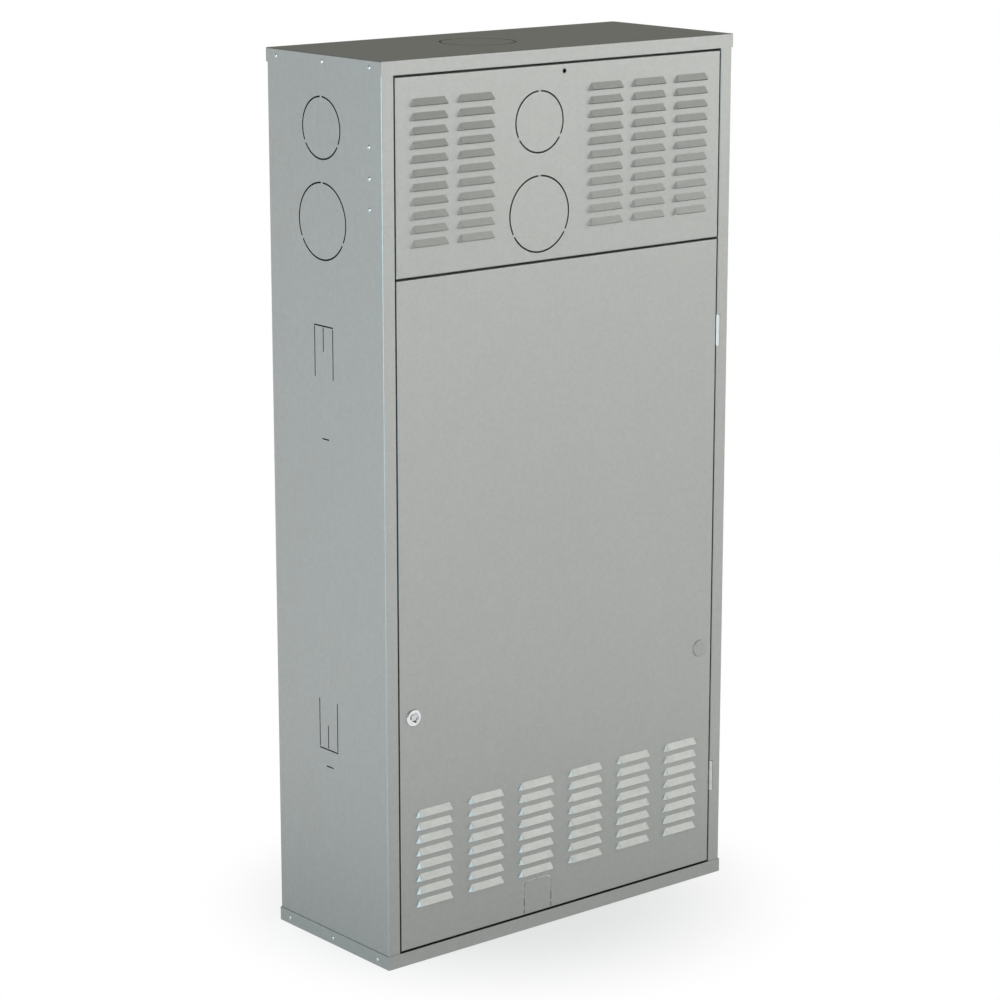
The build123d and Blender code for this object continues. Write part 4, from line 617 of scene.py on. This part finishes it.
rivet_domes()
gauge_face()
gauge_ring()
knob_scale("heating_scale", HEATING_KNOB_X)
knob_scale("water_scale", WATER_KNOB_X)
fluted_knob("heating_knob_moulded", HEATING_KNOB_X, "heating_control", "heating_knob")
fluted_knob("water_knob_moulded", WATER_KNOB_X, "water_control", "water_knob")
lever_sleeve("gas_lever_sleeve", 0.0, "gas_lever", "yellow_plastic")
lever_sleeve("water_lever_sleeve", 0.075, "water_lever", "red_plastic")
sight_glass()
for name, radius, material, points in (
        ("valve_lead_left", 0.0013, finishes["black_plastic"],
         ((0.042, -0.028, 0.4655), (0.036, -0.034, 0.474), (0.0, -0.048, 0.462),
          (-0.045, -0.052, 0.452), (-0.0605, -0.0540, 0.440))),
        ("valve_lead_right", 0.0013, lead_blue,
         ((0.078, -0.028, 0.4655), (0.070, -0.036, 0.476), (0.030, -0.052, 0.468),
          (-0.030, -0.057, 0.448), (-0.0615, -0.0560, 0.436))),
        ("pump_lead", 0.0028, finishes["black_plastic"],
         ((0.150, -0.0415, 0.345), (0.150, -0.056, 0.338), (0.146, -0.060, 0.320),
          (0.140, -0.060, 0.2995))),
        ("diverter_lead", 0.0018, finishes["black_plastic"],
         ((-0.150, -0.0210, 0.245), (-0.150, -0.034, 0.252), (-0.152, -0.042, 0.256),
          (-0.152, -0.0485, 0.256)))):
    lead(name, points, radius, material)


# ---------- floor, world, lamps, camera ----------

def studio_floor():
    """A pale floor that keeps the object's shadow and turns white further off."""
    mesh = bmesh.new()
    bmesh.ops.create_circle(mesh, cap_ends=True, radius=30.0, segments=96)
    data = bpy.data.meshes.new("studio_floor")
    mesh.to_mesh(data)
    mesh.free()
    floor = bpy.data.objects.new("studio_floor", data)
    scene.collection.objects.link(floor)
    floor.location.z = -0.0006
    material = bpy.data.materials.new("pale_floor")
    material.use_nodes = True
    tree = material.node_tree
    shader = tree.nodes["Principled BSDF"]
    shader.inputs["Base Color"].default_value = (0.78, 0.78, 0.78, 1)
    shader.inputs["Roughness"].default_value = 0.95
    shader.inputs["Specular IOR Level"].default_value = 0.0
    place = tree.nodes.new("ShaderNodeTexCoord")
    length = tree.nodes.new("ShaderNodeVectorMath")
    length.operation = "LENGTH"
    tree.links.new(place.outputs["Object"], length.inputs[0])
    path = tree.nodes.new("ShaderNodeLightPath")
    direct = maths(tree, "MAXIMUM", path.outputs["Is Camera Ray"], path.outputs["Is Transmission Ray"])
    away = length.outputs["Value"]
    whitening = ranged(tree, away, low=0.12, high=0.45, start=0.60, smooth=True)
    mirrored_whitening = ranged(tree, away, low=0.15, high=1.20, start=0.42, smooth=True)
    seen = maths(tree, "MULTIPLY", direct, whitening)
    mirrored = maths(tree, "MULTIPLY", path.outputs["Is Glossy Ray"], mirrored_whitening)
    white = tree.nodes.new("ShaderNodeEmission")
    white.inputs["Color"].default_value = (1, 1, 1, 1)
    mixed = tree.nodes.new("ShaderNodeMixShader")
    tree.links.new(maths(tree, "MAXIMUM", seen, mirrored), mixed.inputs["Fac"])
    tree.links.new(shader.outputs["BSDF"], mixed.inputs[1])
    tree.links.new(white.outputs["Emission"], mixed.inputs[2])
    tree.links.new(mixed.outputs["Shader"], tree.nodes["Material Output"].inputs["Surface"])
    data.materials.append(material)


def studio_world():
    """White behind the object for the camera, a dim ceiling in what its metal mirrors and is lit by."""
    world = bpy.data.worlds.new("studio_world")
    scene.world = world
    world.use_nodes = True
    tree = world.node_tree
    tree.nodes.clear()
    place = tree.nodes.new("ShaderNodeTexCoord")
    parts = tree.nodes.new("ShaderNodeSeparateXYZ")
    tree.links.new(place.outputs["Generated"], parts.inputs["Vector"])
    horizon = ranged(tree, parts.outputs["Z"], low=0.02, high=0.16, start=1.0, end=0.05, smooth=True)
    path = tree.nodes.new("ShaderNodeLightPath")
    clear = maths(tree, "MAXIMUM", path.outputs["Is Camera Ray"], path.outputs["Is Transmission Ray"])
    clear = maths(tree, "MAXIMUM", clear, maths(tree, "MULTIPLY", path.outputs["Is Glossy Ray"], horizon))
    white = tree.nodes.new("ShaderNodeBackground")
    white.inputs["Color"].default_value = (1, 1, 1, 1)
    ambient = tree.nodes.new("ShaderNodeBackground")
    ambient.inputs["Color"].default_value = (1.0, 0.97, 0.80, 1)
    ambient.inputs["Strength"].default_value = 0.17
    mixed = tree.nodes.new("ShaderNodeMixShader")
    output = tree.nodes.new("ShaderNodeOutputWorld")
    tree.links.new(clear, mixed.inputs["Fac"])
    tree.links.new(ambient.outputs["Background"], mixed.inputs[1])
    tree.links.new(white.outputs["Background"], mixed.inputs[2])
    tree.links.new(mixed.outputs["Shader"], output.inputs["Surface"])


def area_lamp(name, place, target, size, power, colour=(1, 1, 1)):
    """A soft rectangular lamp at a place, turned towards a target."""
    data = bpy.data.lights.new(name, "AREA")
    data.shape = "RECTANGLE"
    data.size, data.size_y = size
    data.energy = power
    data.color = colour
    lamp = bpy.data.objects.new(name, data)
    scene.collection.objects.link(lamp)
    lamp.location = place
    lamp.rotation_euler = (Vector(target) - Vector(place)).to_track_quat("-Z", "Y").to_euler()


def studio_camera():
    """The camera where the photo was taken from, tilted down and turned to the right."""
    tilt = 13.572
    turn = 39.530
    data = bpy.data.cameras.new("photo_camera")
    data.sensor_width = 36.0
    data.lens = 113.8
    data.clip_end = 100.0
    camera = bpy.data.objects.new("photo_camera", data)
    scene.collection.objects.link(camera)
    camera.location = (-2.68415, -3.24273, 1.58992)
    camera.rotation_euler = (math.radians(90 - tilt), 0.0, math.radians(-turn))
    scene.camera = camera


scene.view_settings.view_transform = "Standard"
studio_floor()
studio_world()
studio_camera()
neutral = (1.0, 0.998, 0.985)
area_lamp("front_window", (1.1, -4.4, 1.5), (0.1, 0, 0.8), (3.0, 2.2), 24.0, neutral)
area_lamp("right_window", (4.6, -2.2, 1.7), (0.2, 0, 0.9), (2.0, 2.0), 46.0, neutral)
area_lamp("left_window", (-4.2, -0.6, 1.1), (0, 0, 0.65), (2.4, 2.0), 92.0, (0.50, 0.80, 1.0))
area_lamp("edge_strip", (-3.3, -2.2, 2.5), (-0.2, -0.12, 0.8), (1.0, 1.6), 42.0)
area_lamp("high_window", (2.3, -2.9, 2.9), (0.1, -0.1, 0.8), (1.8, 1.4), 27.0)
area_lamp("ceiling_panel", (0.0, -0.2, 4.6), (0, 0, 0), (4.0, 4.0), 2.0)
